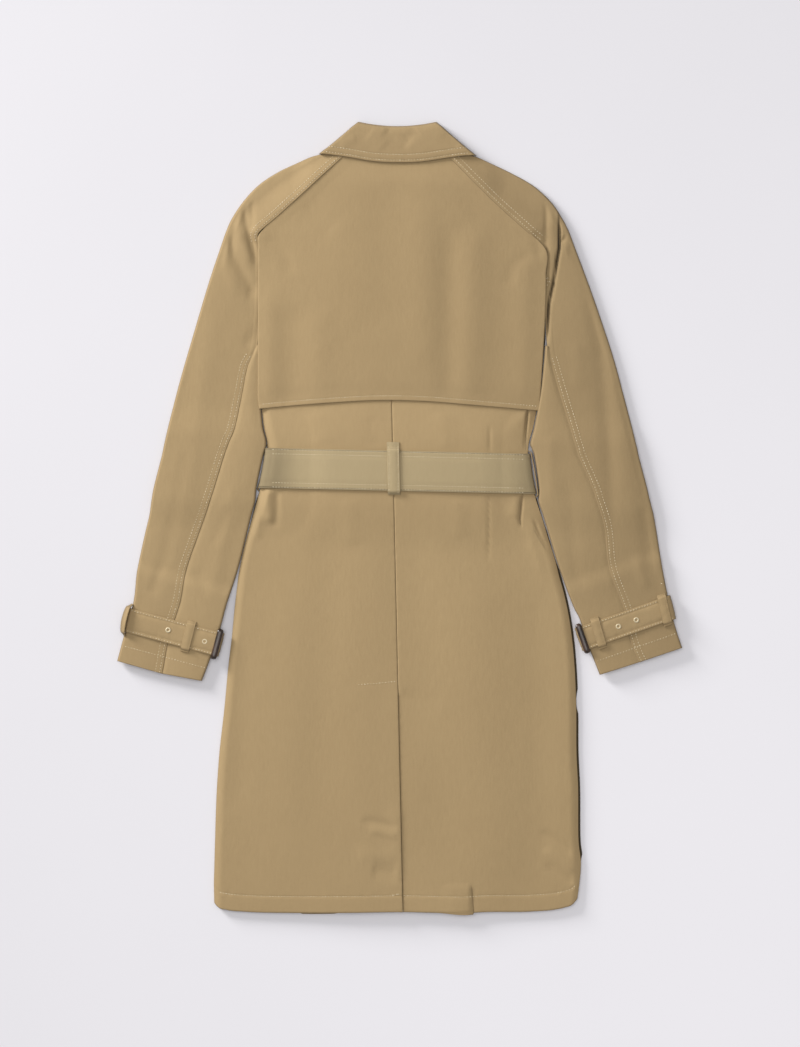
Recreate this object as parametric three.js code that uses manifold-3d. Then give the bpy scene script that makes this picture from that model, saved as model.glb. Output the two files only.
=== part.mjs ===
// A belted trench coat laid face down on a flat surface, so that its back shows.
//
// Frame: millimetres, +Z up from the surface, +Y towards the collar, +X to the wearer's right.
// The origin is on the surface, under the middle of the coat's footprint. Left and right are
// the wearer's.
//
// Every piece of cloth is a thin wall between two matching grids of points. The fronts lie
// lowest, the back lies on them, and the yoke, the belt and the collar lie on the back. Pieces
// that are sewn together stay about 0.3 mm apart.
import * as THREE from "three";
import Module from "manifold-3d";
import { mergeVertices } from "three/addons/utils/BufferGeometryUtils.js";

// ---- Driving sizes ----
const CLOTH = 1.8; // the coat's cotton with its backing
const GAP = 0.3; // between pieces that touch
const BODY_RISE = 7.4; // from the underside of the fronts to the top of the back
const SLEEVE_RISE = 7; // the same across a flattened sleeve
const BACK_NECK_Y = 517;
const HEM_Y = -550;
const FOLD_REACH = 12; // how far in from a side edge the back curves down to its side seam
const WAIST_REACH = 40; // the same where the belt pulls the waist round
const ARMPIT_Y = 240;

const BELT = { width: 56.5, cloth: 2.2, y: 66.5, slope: -0.0219, tip: 112, rise: 2.6 };
const BUCKLE = { left: -32, right: 20, rail: 6, window: 61, bar: 3, height: 5.6 };
const YOKE_BOW = 8; // how much higher the yoke's hem is at the middle than at its ends
const VENT = { top: -230, lap: 53, tuck: 12, cloth: 1.2 };
const BUTTONS = { radius: 10.5, thick: 3, rows: [440, 315, 190, -70, -210] };
const LAP = 40; // how far each front passes the middle
const EYELET = { outer: 3.9, hole: 1.5, thick: 0.9 };
const STRAP = { half: 17, cloth: 1.6, lift: 2.4, bulge: 6.5 };
const LOOP = { width: 12.5, cloth: 1.5 };

// Outline of the body, one row for each height: where its left and right edges lie.
const BODY = [
  { y: 517, left: -68, right: 59 },
  { y: 507, left: -79, right: 69.4 },
  { y: 474, left: -115, right: 102 },
  { y: 440, left: -152.5, right: 137 },
  { y: 405, left: -191, right: 176 },
  { y: 381, left: -193, right: 202 },
  { y: 340, left: -193, right: 205 },
  { y: 290, left: -192.5, right: 203.5 },
  { y: 240, left: -192, right: 201 },
  { y: 200, left: -192.5, right: 198 },
  { y: 163, left: -193, right: 194.5 },
  { y: 128, left: -189, right: 187 },
  { y: 104, left: -182.5, right: 179.5 },
  { y: 66, left: -188.5, right: 182.5 },
  { y: 28, left: -198, right: 191 },
  { y: -2, left: -206.5, right: 201.5 },
  { y: -58, left: -221, right: 218.5 },
  { y: -121, left: -229.5, right: 234 },
  { y: -184, left: -236.5, right: 243.5 },
  { y: -268, left: -245, right: 248.5 },
  { y: -373, left: -254.5, right: 250.5 },
  { y: -470, left: -258, right: 253.5 },
  { y: -515, left: -258.3, right: 254 },
  { y: -535, left: -254, right: 249.5 },
  { y: -546, left: -243, right: 237 },
  { y: HEM_Y, left: -232, right: 224 },
];

// A sleeve, one row for each section from the neck to the cuff. outer is the fold over the arm,
// seam is where the upper piece ends (the raglan seam, then the seam down the back of the arm),
// inner is the fold under the arm, and rise is the height of the top layer at the seam.
const LEFT_SLEEVE = [
  { outer: [-97, 513], seam: [-68.6, 517], rise: 9.6 },
  { outer: [-138.5, 500], seam: [-93, 494.2], rise: 9.6 },
  { outer: [-170, 485.5], seam: [-122, 467.7], rise: 9.6 },
  { outer: [-197.5, 467], seam: [-148, 444.2], rise: 9.6 },
  { outer: [-219, 443.5], seam: [-172, 422.5], rise: 9.6 },
  { outer: [-236, 418], seam: [-196.4, 400.5], rise: 9.6 },
  { outer: [-243, 402], seam: [-199, 388], rise: 7.1 },
  { outer: [-250, 383], seam: [-194, 374], rise: 6.9 },
  { outer: [-268, 327], seam: [-193.8, 318], rise: 6.9 },
  { outer: [-291, 251], seam: [-199.4, 243], inner: [-193.6, 245], rise: 6.9 },
  { outer: [-303, 208], seam: [-213, 214], inner: [-193.5, 216], rise: 7 },
  { outer: [-323, 131], seam: [-232, 128], inner: [-193.8, 132], rise: 7 },
  { outer: [-334, 82], seam: [-247, 84], inner: [-192, 84], rise: 7 },
  { outer: [-343.5, 45], seam: [-260, 43], inner: [-200, 44], rise: 7 },
  { outer: [-356, -22], seam: [-279.5, -25], inner: [-213.2, -22], rise: 7 },
  { outer: [-366, -72], seam: [-291.5, -74], inner: [-226, -71], rise: 7 },
  { outer: [-371, -109], seam: [-301, -114], inner: [-240.5, -118], rise: 7 },
  { outer: [-382.5, -160], seam: [-315, -179], inner: [-261, -190], rise: 7 },
  { outer: [-395, -199], seam: [-327.5, -218], inner: [-276, -227.5], rise: 7 },
];
const RIGHT_SLEEVE = [
  { outer: [90, 512.5], seam: [59.6, 517], rise: 9.6 },
  { outer: [126, 498.5], seam: [83, 494.2], rise: 9.6 },
  { outer: [158, 484], seam: [109, 467.7], rise: 9.6 },
  { outer: [190, 465], seam: [137.5, 440.2], rise: 9.6 },
  { outer: [214, 442.5], seam: [166, 414.7], rise: 9.6 },
  { outer: [238, 404], seam: [203.4, 381.6], rise: 9.6 },
  { outer: [244, 390], seam: [207.5, 372], rise: 7.1 },
  { outer: [252, 371.5], seam: [206, 358], rise: 6.9 },
  { outer: [271, 321.5], seam: [205.5, 312], rise: 6.9 },
  { outer: [295, 247], seam: [210.6, 241], inner: [204.8, 243], rise: 6.9 },
  { outer: [305, 210], seam: [216, 211], inner: [204, 214], rise: 7 },
  { outer: [326.5, 131], seam: [243, 130], inner: [192.8, 130], rise: 7 },
  { outer: [338, 82], seam: [260.5, 82], inner: [193.4, 82], rise: 7 },
  { outer: [347.5, 43], seam: [272.5, 43], inner: [198.6, 43], rise: 7 },
  { outer: [361.5, -20], seam: [281.5, -20], inner: [211.4, -20], rise: 7 },
  { outer: [369.5, -68], seam: [293, -71], inner: [225.8, -69], rise: 7 },
  { outer: [377.5, -113], seam: [306, -121], inner: [243, -122], rise: 7 },
  { outer: [387.5, -152], seam: [324, -170], inner: [263.5, -174], rise: 7 },
  { outer: [396, -181], seam: [338.5, -201], inner: [281, -218.5], rise: 7 },
];

// The strap round each cuff: its middle at the outer fold and at the inner fold, how far the
// outer fold leans from square to the strap, and where the loop and the eyelets lie along it.
const CUFFS = {
  left: { outer: [-378.5, -142.6], inner: [-257, -175.1], lean: 0.04, loopAt: 0.7, eyelets: [0.455, 0.88] },
  right: { outer: [380.6, -124.8], inner: [259.6, -167.2], lean: 0.09, loopAt: 0.85, eyelets: [0.61, 0.4] },
};

// ---- Materials ----
const finish = (color, roughness, metalness = 0) =>
  new THREE.MeshStandardMaterial({ color, roughness, metalness });
const gabardine = finish(0xb29b75, 0.85);
const beltCloth = finish(0xb8a582, 0.85);
const brownHorn = finish(0x33241e, 0.4);
const creamMetal = finish(0xe2d2ac, 0.4, 0.3);

const coat = new THREE.Group();

// ---- Small tools ----
const mix = (a, b, t) => a + (b - a) * t;
const clamp = (t) => Math.min(1, Math.max(0, t));
const ease = (t) => clamp(t) ** 2 * (3 - 2 * clamp(t));
// 1 inside the half width, easing to 0 over the soft distance.
const plateau = (distance, half, soft) => 1 - ease((Math.abs(distance) - half) / soft);
const spread = (count, from = 0, to = 1) =>
  Array.from({ length: count + 1 }, (_, i) => mix(from, to, i / count));

// The body's edge on one side at height y, straight between the rows.
function bodyEdge(side, y) {
  const last = BODY.length - 1;
  if (y >= BODY[0].y) return BODY[0][side];
  for (let i = 0; i < last; i++) {
    const [a, b] = [BODY[i], BODY[i + 1]];
    if (y >= b.y) return mix(a[side], b[side], (a.y - y) / (a.y - b.y));
  }
  return BODY[last][side];
}

// A closed wall between two grids of points; a positive volume shows that its faces point out.
function wall(name, over, under, material) {
  const rows = over.length;
  const columns = over[0].length;
  const positions = [...over.flat(), ...under.flat()].flat();
  const at = (face, r, c) => face * rows * columns + r * columns + c;
  let index = [];
  const quad = (a, b, c, d) => index.push(a, b, c, a, c, d);
  for (let r = 0; r < rows - 1; r++) {
    for (let c = 0; c < columns - 1; c++) {
      quad(at(0, r, c), at(0, r + 1, c), at(0, r + 1, c + 1), at(0, r, c + 1));
      index.push(at(1, r, c), at(1, r + 1, c + 1), at(1, r + 1, c));
      index.push(at(1, r, c), at(1, r, c + 1), at(1, r + 1, c + 1));
    }
    quad(at(0, r, 0), at(1, r, 0), at(1, r + 1, 0), at(0, r + 1, 0));
    quad(at(0, r + 1, columns - 1), at(1, r + 1, columns - 1), at(1, r, columns - 1), at(0, r, columns - 1));
  }
  for (let c = 0; c < columns - 1; c++) {
    quad(at(0, 0, c + 1), at(1, 0, c + 1), at(1, 0, c), at(0, 0, c));
    quad(at(0, rows - 1, c), at(1, rows - 1, c), at(1, rows - 1, c + 1), at(0, rows - 1, c + 1));
  }
  if (signedVolume(positions, index) < 0) index = index.reverse();
  const geometry = new THREE.BufferGeometry();
  geometry.setAttribute("position", new THREE.Float32BufferAttribute(positions, 3));
  geometry.setIndex(index);
  return place(name, geometry, material);
}

function signedVolume(p, index) {
  let sum = 0;
  for (let i = 0; i < index.length; i += 3) {
    const [a, b, c] = [index[i] * 3, index[i + 1] * 3, index[i + 2] * 3];
    sum += p[a] * (p[b + 1] * p[c + 2] - p[b + 2] * p[c + 1]);
    sum += p[a + 1] * (p[b + 2] * p[c] - p[b] * p[c + 2]);
    sum += p[a + 2] * (p[b] * p[c + 1] - p[b + 1] * p[c]);
  }
  return sum;
}

function place(name, geometry, material) {
  geometry.computeVertexNormals();
  const mesh = new THREE.Mesh(geometry, material);
  mesh.name = name;
  coat.add(mesh);
  return mesh;
}

// Two matching lines a wall's thickness apart, from a line of [across, height] and its own normals.
function thicken(line, thickness) {
  return line.map((p, i) => {
    const a = line[Math.max(0, i - 1)];
    const b = line[Math.min(line.length - 1, i + 1)];
    const long = Math.hypot(b[0] - a[0], b[1] - a[1]);
    return [p[0] - ((b[1] - a[1]) / long) * thickness, p[1] + ((b[0] - a[0]) / long) * thickness];
  });
}

// ---- Heights of the layers ----
const beltMiddle = (x) => BELT.y + BELT.slope * x;
const underBelt = (x) => mix(BELT.rise, BUCKLE.height + GAP, plateau(x - 36, 86, 45));

// The largest soft folds of the back, each from one end to the other, with its half width and
// its height.
const FOLDS = [
  { from: [20, 20], to: [62, -540], half: 38, high: -1.1 },
  { from: [105, -20], to: [135, -540], half: 44, high: 1.3 },
  { from: [-150, -120], to: [-165, -540], half: 44, high: 1.1 },
  { from: [178, 150], to: [172, -20], half: 24, high: -1.2 },
  { from: [-182, 40], to: [-176, -10], half: 26, high: 1.4 },
  { from: [102, 330], to: [100, 150], half: 34, high: 1 },
  { from: [-150, 260], to: [-150, 150], half: 34, high: -0.9 },
];

function foldsAt(x, y) {
  return FOLDS.reduce((sum, { from, to, half, high }) => {
    const share = (from[1] - y) / (from[1] - to[1]);
    const ends = ease(share / 0.25 + 0.2) * ease((1 - share) / 0.25 + 1);
    return sum + high * ends * plateau(x - mix(from[0], to[0], clamp(share)), half * 0.2, half);
  }, 0);
}

// The underside of the lowest layer of cloth: 0 where it rests, more over the belt, the buttons
// and the collar points.
function lift(x, y) {
  const belt = underBelt(x) * plateau(y - beltMiddle(x), 40, 50);
  const buttons = (BUTTONS.thick + GAP) * plateau(x, 20, 24) * plateau(y - 100, 370, 40);
  const collar = (CLOTH + 2 * GAP) * ease((y - 415) / 35) * plateau(x, 118, 35);
  return Math.max(belt, buttons, collar);
}

// The top of the back panels. They crown over the lapped fronts, rise over the waist and fall
// to the side seams.
function backTop(x, y) {
  const crown = 4.4 * plateau(x, 30, 165) * (1 - 0.6 * ease((y - 465) / 40));
  const waist = 5.2 * plateau(y - beltMiddle(x), 40, 75) * plateau(x - 10, 100, 75);
  const sides = 3 * plateau(y - beltMiddle(x), 40, 60);
  const neck = 1.6 * ease((y - 400) / 50);
  const full = BODY_RISE + Math.max(crown, neck) + Math.max(waist, sides) * (1 - 0.35 * plateau(x, 20, 160));
  const reach = mix(FOLD_REACH, WAIST_REACH, plateau(y - BELT.y, 35, 60));
  const inset = Math.min(x - bodyEdge("left", y), bodyEdge("right", y) - x);
  const seam = 2 * CLOTH + GAP + 0.2 + BELT.rise * plateau(y - beltMiddle(x), 40, 50);
  const folded = ease((ARMPIT_Y + 10 - y) / 40);
  const height = full + foldsAt(x, y) * ease((inset - 10) / 40);
  return mix(height, seam, folded * (1 - Math.sin((Math.PI / 2) * clamp(inset / reach))));
}

const hemBow = (x) => -5.5 * (1 - clamp(Math.abs(x) / 235) ** 2);
const towardsHem = (y) => ease((-450 - y) / 100);
const centreBack = (y) => -6.5 - 0.02205 * y;

// A body panel between two edges. height(x, y) is its top, and its rows are those of the outline.
function panel(name, from, to, insets, height, extraHem = () => 0) {
  const rows = BODY.map(({ y }) => {
    const [a, b] = [from(y), to(y)];
    return insets(b - a).map((d) => {
      const x = a + d;
      const flatY = y + (hemBow(x) + extraHem(x)) * towardsHem(y);
      return [x, flatY, height(x, y)];
    });
  });
  const under = rows.map((row) => row.map(([x, y, z]) => [x, y, z - CLOTH]));
  return wall(name, rows, under, gabardine);
}

// Distances across a panel, close together where it folds at its side.
const NEAR_FOLD = [0, 3, 8, 18, 40];
function fromFold(width) {
  const most = NEAR_FOLD[NEAR_FOLD.length - 1];
  const squeeze = Math.min(1, (width * 0.4) / most);
  return [...NEAR_FOLD.map((d) => d * squeeze), ...spread(5, most * squeeze, width).slice(1)];
}
const toFold = (width) => fromFold(width).map((d) => width - d).reverse();

// ---- Fronts: the right front laps over the left, so it lies lowest ----
function fronts() {
  const peek = (x) => -2.2 * plateau(x + 115, 8, 22);
  const climb = (x) => ease((x + LAP + 22) / 20);
  const rightTop = (x, y) => lift(x, y) + CLOTH;
  const leftTop = (x, y) => rightTop(x, y) + (CLOTH + GAP) * climb(x);
  const toLap = (width) => lapColumns(width).map((d) => width - d).reverse();
  panel("front_right", () => -LAP, (y) => bodyEdge("right", y), lapColumns, rightTop, peek);
  panel("front_left", (y) => bodyEdge("left", y), () => LAP, toLap, leftTop, peek);
}

// Distances from a front's lapping edge: the same columns on both fronts where they lap, then
// on to the side.
function lapColumns(width) {
  const lap = [0, 20, 40, 60, 80, Math.min(102, width - 8)];
  return [...lap, ...spread(2, lap[lap.length - 1], width).slice(1)];
}

// ---- Back: two panels sewn down the middle, with a vent lapped left over right ----
function back() {
  const half = GAP / 2;
  panel("back_left", (y) => bodyEdge("left", y), (y) => centreBack(y) - half, fromFold, backTop);
  panel("back_right", (y) => centreBack(y) + half, (y) => bodyEdge("right", y), toFold, backTop);

  const rows = [VENT.top, ...BODY.map(({ y }) => y).filter((y) => y < VENT.top - 5)].map((y) => {
    const middle = centreBack(y);
    return spread(5, middle - VENT.lap, middle + VENT.tuck).map((x) => {
      const flatY = y + hemBow(x) * towardsHem(y);
      return [x, flatY + 3 * towardsHem(y), backTop(x, y) - CLOTH - 2 * GAP];
    });
  });
  const under = rows.map((row) => row.map(([x, y, z]) => [x, y, z - VENT.cloth]));
  wall("vent_underlap", rows, under, gabardine);
}

// ---- Yoke: a loose flap over the shoulders, caught in the collar and raglan seams ----
function yoke() {
  const outline = [
    { y: 517, left: -68.2, right: 59.2 },
    { y: 494, left: -92.6, right: 82.6 },
    { y: 467.5, left: -121.5, right: 108.6 },
    { y: 440, left: -152.1, right: 137 },
    { y: 400, left: -195.9, right: 182.5 },
    { y: 381, left: -197.2, right: 203 },
    { y: 340, left: -197.4, right: 205.5 },
    { y: 290, left: -197.6, right: 204.8 },
    { y: 240, left: -197.8, right: 202 },
    { y: 200, left: -198, right: 199.4 },
    { y: 163, left: -198, right: 196.6 },
  ];
  const rows = outline.map(({ y, left, right }) =>
    spread(14, left, right).map((x) => {
      const towards = ease((300 - y) / 137);
      const bow = YOKE_BOW * (1 - ((x - centreBack(y)) / 200) ** 2);
      const inside = Math.min(Math.max(x, bodyEdge("left", y) + 25), bodyEdge("right", y) - 25);
      const free = Math.abs(x - inside) / 30;
      return [x, y + bow * towards, backTop(inside, y) + 2 * GAP + CLOTH + 0.2 * free];
    }),
  );
  const under = rows.map((row) => row.map(([x, y, z]) => [x, y, z - CLOTH]));
  wall("back_yoke", rows, under, gabardine);
}

// ---- Sleeves: an upper piece round the outer fold and an under piece round the inner fold ----
// One section of a flattened tube from the seam, over the fold and back beneath: [across, height] pairs.
function foldedSection(width, riseAtSeam, bottomAt, count) {
  const high = SLEEVE_RISE / 2;
  const radius = Math.min(high, 0.6 * width);
  const flat = Math.max(width - radius, 0.5);
  const top = spread(count, 0, flat).map((p) => [p, mix(riseAtSeam, SLEEVE_RISE, ease(p / (flat * 0.6)))]);
  const turn = spread(5, 90, -90).slice(1, -1).map((deg) => {
    const angle = (deg * Math.PI) / 180;
    return [flat + radius * Math.cos(angle), high + high * Math.sin(angle)];
  });
  const bottom = spread(count, flat, 0).map((p) => [p, 0]);
  return [...top, ...turn, ...bottom].map(([p, z]) => [p, z + bottomAt(p)]);
}

function sleevePiece(name, rows, foldKey, seamGap, count) {
  const over = [];
  const under = [];
  for (const row of rows) {
    const [sx, sy] = row.seam;
    const [fx, fy] = row[foldKey];
    const long = Math.hypot(fx - sx, fy - sy);
    const [ex, ey] = [(fx - sx) / long, (fy - sy) / long];
    const raise = (p) => Math.max(lift(sx + ex * p, sy + ey * p), cuffLift(sx + ex * p, sy + ey * p));
    const outer = foldedSection(long - seamGap, row.rise, (p) => raise(p + seamGap), count);
    const inner = thicken(outer, -CLOTH);
    const world = ([p, z]) => [sx + ex * (p + seamGap), sy + ey * (p + seamGap), z];
    over.push(outer.map(world));
    under.push(inner.map(world));
  }
  wall(name, over, under, gabardine);
}

// How far a cuff lies above the surface, over the strap that passes beneath it.
function cuffLift(x, y) {
  let most = 0;
  for (const { outer, inner } of Object.values(CUFFS)) {
    const long = Math.hypot(inner[0] - outer[0], inner[1] - outer[1]);
    const [ex, ey] = [(inner[0] - outer[0]) / long, (inner[1] - outer[1]) / long];
    const across = (x - outer[0]) * ex + (y - outer[1]) * ey;
    const along = (x - outer[0]) * -ey + (y - outer[1]) * ex;
    const near = across > -60 && across < long + 60;
    if (near) most = Math.max(most, STRAP.lift * plateau(along, STRAP.half + 48, 20));
  }
  return most;
}

function sleeves() {
  for (const [side, rows] of [["left", LEFT_SLEEVE], ["right", RIGHT_SLEEVE]]) {
    sleevePiece(`sleeve_${side}_upper`, rows, "outer", 0.4, 3);
    sleevePiece(`sleeve_${side}_under`, rows.filter((row) => row.inner), "inner", 0.4, 2);
  }
}

// ---- Cuff straps, with their loops, eyelets and buckles ----
function cuff(side) {
  const { outer, inner, lean, loopAt, eyelets } = CUFFS[side];
  const long = Math.hypot(inner[0] - outer[0], inner[1] - outer[1]);
  const [ex, ey] = [(inner[0] - outer[0]) / long, (inner[1] - outer[1]) / long];
  // across the sleeve from the outer fold, along it towards the hand, and up
  const hand = side === "left" ? 1 : -1;
  const world = (across, along, z) => {
    const p = across + lean * along * (1 - clamp(across / long));
    return [outer[0] + ex * p + hand * ey * along, outer[1] + ey * p - hand * ex * along, z];
  };
  const topOf = STRAP.lift + SLEEVE_RISE + GAP;
  const bottomOf = STRAP.cloth + 0.4;
  const middle = (topOf + bottomOf) / 2;
  const radius = (topOf - bottomOf) / 2;

  // The strap starts under the cuff, goes round the outer fold and over it, and bulges through the buckle.
  const round = (centre, reach, from, to, count) =>
    spread(count, from, to).map((deg) => {
      const angle = (deg * Math.PI) / 180;
      return [centre + reach * Math.cos(angle), middle + (radius + 0.2) * Math.sin(angle)];
    });
  const line = [
    ...spread(5, long - 14, 8).map((p) => [p, bottomOf]),
    ...round(2, radius + 1, 270, 90, 6).slice(1, -1),
    ...spread(6, 8, long - 3).map((p) => [p, topOf]),
    ...round(long - 2, STRAP.bulge + 3, 75, -75, 6),
    [long - 6, bottomOf],
  ];
  const strapOuter = thicken(line, STRAP.cloth);
  const rows = [-STRAP.half, 0, STRAP.half];
  wall(
    `cuff_strap_${side}`,
    rows.map((along) => strapOuter.map(([p, z]) => world(p, along, z))),
    rows.map((along) => line.map(([p, z]) => world(p, along, z))),
    gabardine,
  );
  const strapTop = topOf + STRAP.cloth;

  // A loop is a strip over the strap, down to the sleeve at both ends.
  const reach = STRAP.half + 5;
  const bridge = [
    [-reach, topOf],
    [-reach + 2, topOf + 0.2],
    [-STRAP.half - 1, strapTop + GAP],
    [-STRAP.half * 0.5, strapTop + GAP],
    [STRAP.half * 0.5, strapTop + GAP],
    [STRAP.half + 1, strapTop + GAP],
    [reach - 2, topOf + 0.2],
    [reach, topOf],
  ];
  const bridgeOuter = thicken(bridge, LOOP.cloth);
  const strip = (name, from, to, shift = () => [0, 0]) =>
    wall(
      name,
      [from, to].map((p, i) => bridgeOuter.map(([q, z]) => world(p + shift(q, i)[0], q, z + shift(q, i)[1]))),
      [from, to].map((p, i) => bridge.map(([q, z]) => world(p + shift(q, i)[0], q, z + shift(q, i)[1]))),
      gabardine,
    );
  const loopMiddle = loopAt * long;
  strip(`cuff_loop_${side}_back`, loopMiddle - LOOP.width / 2, loopMiddle + LOOP.width / 2);
  outerLoop(side, world, middle, radius, strapTop);

  for (const [i, share] of eyelets.entries()) {
    const profile = [
      [EYELET.hole, 0],
      [EYELET.outer, 0],
      [EYELET.outer, EYELET.thick * 0.5],
      [(EYELET.outer + EYELET.hole) / 2, EYELET.thick],
      [EYELET.hole, EYELET.thick * 0.6],
      [EYELET.hole, 0],
    ].map(([r, z]) => new THREE.Vector2(r, z));
    const ring = new THREE.LatheGeometry(profile, 16);
    ring.rotateX(Math.PI / 2);
    ring.translate(...world(share * long, 0, strapTop + GAP));
    place(`eyelet_${side}_${i + 1}`, ring, creamMetal);
  }

  cuffBuckle(side, world, long, middle, radius);
}

// The loop at the outer fold: on the left it stands round the fold, on the right it lies just
// inside it.
function outerLoop(side, world, middle, radius, strapTop) {
  const ends = STRAP.half + 5;
  const alongs = [-ends, -ends + 3, -STRAP.half, -8, 8, STRAP.half, ends - 3, ends];
  const standing = (extra) =>
    alongs.map((q) => {
      const bulge = 3.2 * Math.cos((Math.PI / 2) * (q / ends)) ** 0.6;
      const seat = ease((ends - Math.abs(q)) / (ends - STRAP.half - 1));
      const far = radius + extra + mix(-0.9, STRAP.cloth + 0.9 + bulge, seat);
      return spread(3, 190, 140).map((deg) => {
        const angle = (deg * Math.PI) / 180;
        return world(2 + far * Math.cos(angle), q, middle + far * Math.sin(angle));
      });
    });
  const flat = (extra) =>
    alongs.map((q) => {
      const down = (STRAP.cloth + GAP - 0.1) * ease((Math.abs(q) - STRAP.half) / (ends - STRAP.half));
      return [4.5, 16.5].map((p) => world(p, q, strapTop + GAP + 0.3 - down + extra));
    });
  const face = side === "left" ? standing : flat;
  wall(`cuff_loop_${side}_outer`, face(LOOP.cloth), face(0), gabardine);
}

let solids;
// Joins closed geometries into one.
function joined(geometries) {
  const all = geometries.map((geometry) => {
    const bare = geometry.clone();
    bare.deleteAttribute("normal");
    bare.deleteAttribute("uv");
    const merged = mergeVertices(bare, 1e-4);
    const mesh = new solids.Mesh({
      numProp: 3,
      vertProperties: merged.attributes.position.array,
      triVerts: new Uint32Array(merged.index.array),
    });
    return new solids.Manifold(mesh);
  });
  const made = all.reduce((a, b) => a.add(b)).getMesh();
  const geometry = new THREE.BufferGeometry();
  geometry.setAttribute("position", new THREE.Float32BufferAttribute(made.vertProperties, 3));
  geometry.setIndex(new THREE.Uint32BufferAttribute(made.triVerts, 1));
  return geometry;
}

// A convex outline in [across, height] run along the sleeve between two distances.
function prism(outline, from, to, world) {
  const middle = [0, 1].map((k) => outline.reduce((sum, p) => sum + p[k], 0) / outline.length);
  const points = [];
  for (const along of [from, to]) {
    for (const [p, z] of outline) points.push(world(p, along, z));
    points.push(world(middle[0], along, middle[1]));
  }
  const n = outline.length;
  let index = [];
  for (let i = 0; i < n; i++) {
    const j = (i + 1) % n;
    index.push(i, j, n, i + n + 1, 2 * n + 1, j + n + 1);
    index.push(i, i + n + 1, j + n + 1, i, j + n + 1, j);
  }
  const positions = points.flat();
  if (signedVolume(positions, index) < 0) index = index.reverse();
  const geometry = new THREE.BufferGeometry();
  geometry.setAttribute("position", new THREE.Float32BufferAttribute(positions, 3));
  geometry.setIndex(index);
  return geometry;
}

const oval = (centre, half, count = 10, tilt = 0) =>
  spread(count, 0, 2 * Math.PI)
    .slice(0, -1)
    .map((angle) => {
      const [p, z] = [half[0] * Math.cos(angle), half[1] * Math.sin(angle)];
      const [cos, sin] = [Math.cos(tilt), Math.sin(tilt)];
      return [centre[0] + p * cos - z * sin, centre[1] + p * sin + z * cos];
    });

// A heel-bar buckle at the inner fold: a rail over the strap, a rod inside its bulge and an end on each side.
function cuffBuckle(side, world, long, middle, radius) {
  const rail = [long + 3.4, middle + radius + STRAP.cloth + 1.5];
  const rod = [long + 3.2, middle];
  const inner = STRAP.half + 0.6;
  const outer = inner + 5;
  const end = [
    [rail[0] - 3.4, rail[1] - 1.9],
    [rail[0] - 2.6, rail[1] + 1.5],
    [rail[0] + 2.6, rail[1] + 0.9],
    [rail[0] + 3.8, rail[1] - 2.2],
    [rod[0] + 2.4, rod[1] - 1.8],
    [rod[0] - 1.6, rod[1] - 1.8],
  ];
  const geometry = joined([
    prism(oval(rail, [3.8, 1.7], 12, -0.25), -inner - 1, inner + 1, world),
    prism(oval(rod, [1.5, 1.5], 8), -inner - 1, inner + 1, world),
    prism(end, -outer, -inner, world),
    prism(end, inner, outer, world),
  ]);
  place(`cuff_buckle_${side}`, geometry, brownHorn);
}

// ---- Belt: one strip from its buckle, round the coat and back through the buckle ----
// Its inner face at height y, going right from the buckle, over the back and under the left side to the tip.
function beltLine(y) {
  const left = bodyEdge("left", y - BELT.slope * 190);
  const right = bodyEdge("right", y + BELT.slope * 185);
  const thick = BELT.cloth;
  const low = thick + 0.15;
  const high = BUCKLE.height - GAP;
  const onBar = BUCKLE.bar + GAP + thick;
  const under = (x) => mix(low, high, plateau(x - 30, 84, 40));
  const over = (x) => backTop(x, y) + 0.7;
  const wrap = (edge, sign, from, to) => {
    const bottom = BELT.rise - GAP;
    const top = over(edge - sign * 3);
    return spread(6, from, to).map((deg) => {
      const angle = (deg * Math.PI) / 180;
      return [edge + sign * (0.5 + 0.4 * Math.cos(angle)), mix(bottom, top, (1 + Math.sin(angle)) / 2)];
    });
  };
  return [
    ...spread(6, BUCKLE.right + GAP, right - 3).map((x) => [x, under(x)]),
    ...wrap(right, 1, -80, 60),
    ...spread(20, right - 3, left + 3).map((x) => [x, over(x)]),
    ...wrap(left, -1, 60, -80),
    ...spread(9, left + 3, BUCKLE.left - 4).map((x) => [x, mix(low, onBar, ease((x + 88) / 44))]),
    [BUCKLE.left + BUCKLE.rail + 2, onBar],
    [0, thick + 0.15],
    ...spread(4, 8, BELT.tip).map((x) => [x, thick + 0.15]),
  ];
}

function belt() {
  const half = BELT.width / 2;
  const strip = [-half, 0, half].map((v) => {
    const line = beltLine(BELT.y + v);
    const outer = thicken(line, -BELT.cloth);
    const world = ([x, z]) => [x, beltMiddle(x) + v, z];
    return [outer.map(world), line.map(world)];
  });
  wall("belt", strip.map((s) => s[0]), strip.map((s) => s[1]), beltCloth);

  // The belt's buckle: two rails beside the strip, a side over its way in and a bar at its sewn end.
  const { left, right, rail, window, bar, height } = BUCKLE;
  const box = (x0, x1, y0, y1, z0, z1) => {
    const made = new THREE.BoxGeometry(x1 - x0, y1 - y0, z1 - z0);
    made.translate((x0 + x1) / 2, BELT.y + (y0 + y1) / 2, (z0 + z1) / 2);
    return made;
  };
  const reach = window / 2;
  const frame = joined([
    box(left, right, reach, reach + rail, 0, height),
    box(left, right, -reach - rail, -reach, 0, height),
    box(left, left + rail, -reach - 1, reach + 1, 0, bar),
    box(right - rail, right, -reach - 1, reach + 1, height - bar, height),
  ]);
  place("belt_buckle", frame, brownHorn);
}

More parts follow.
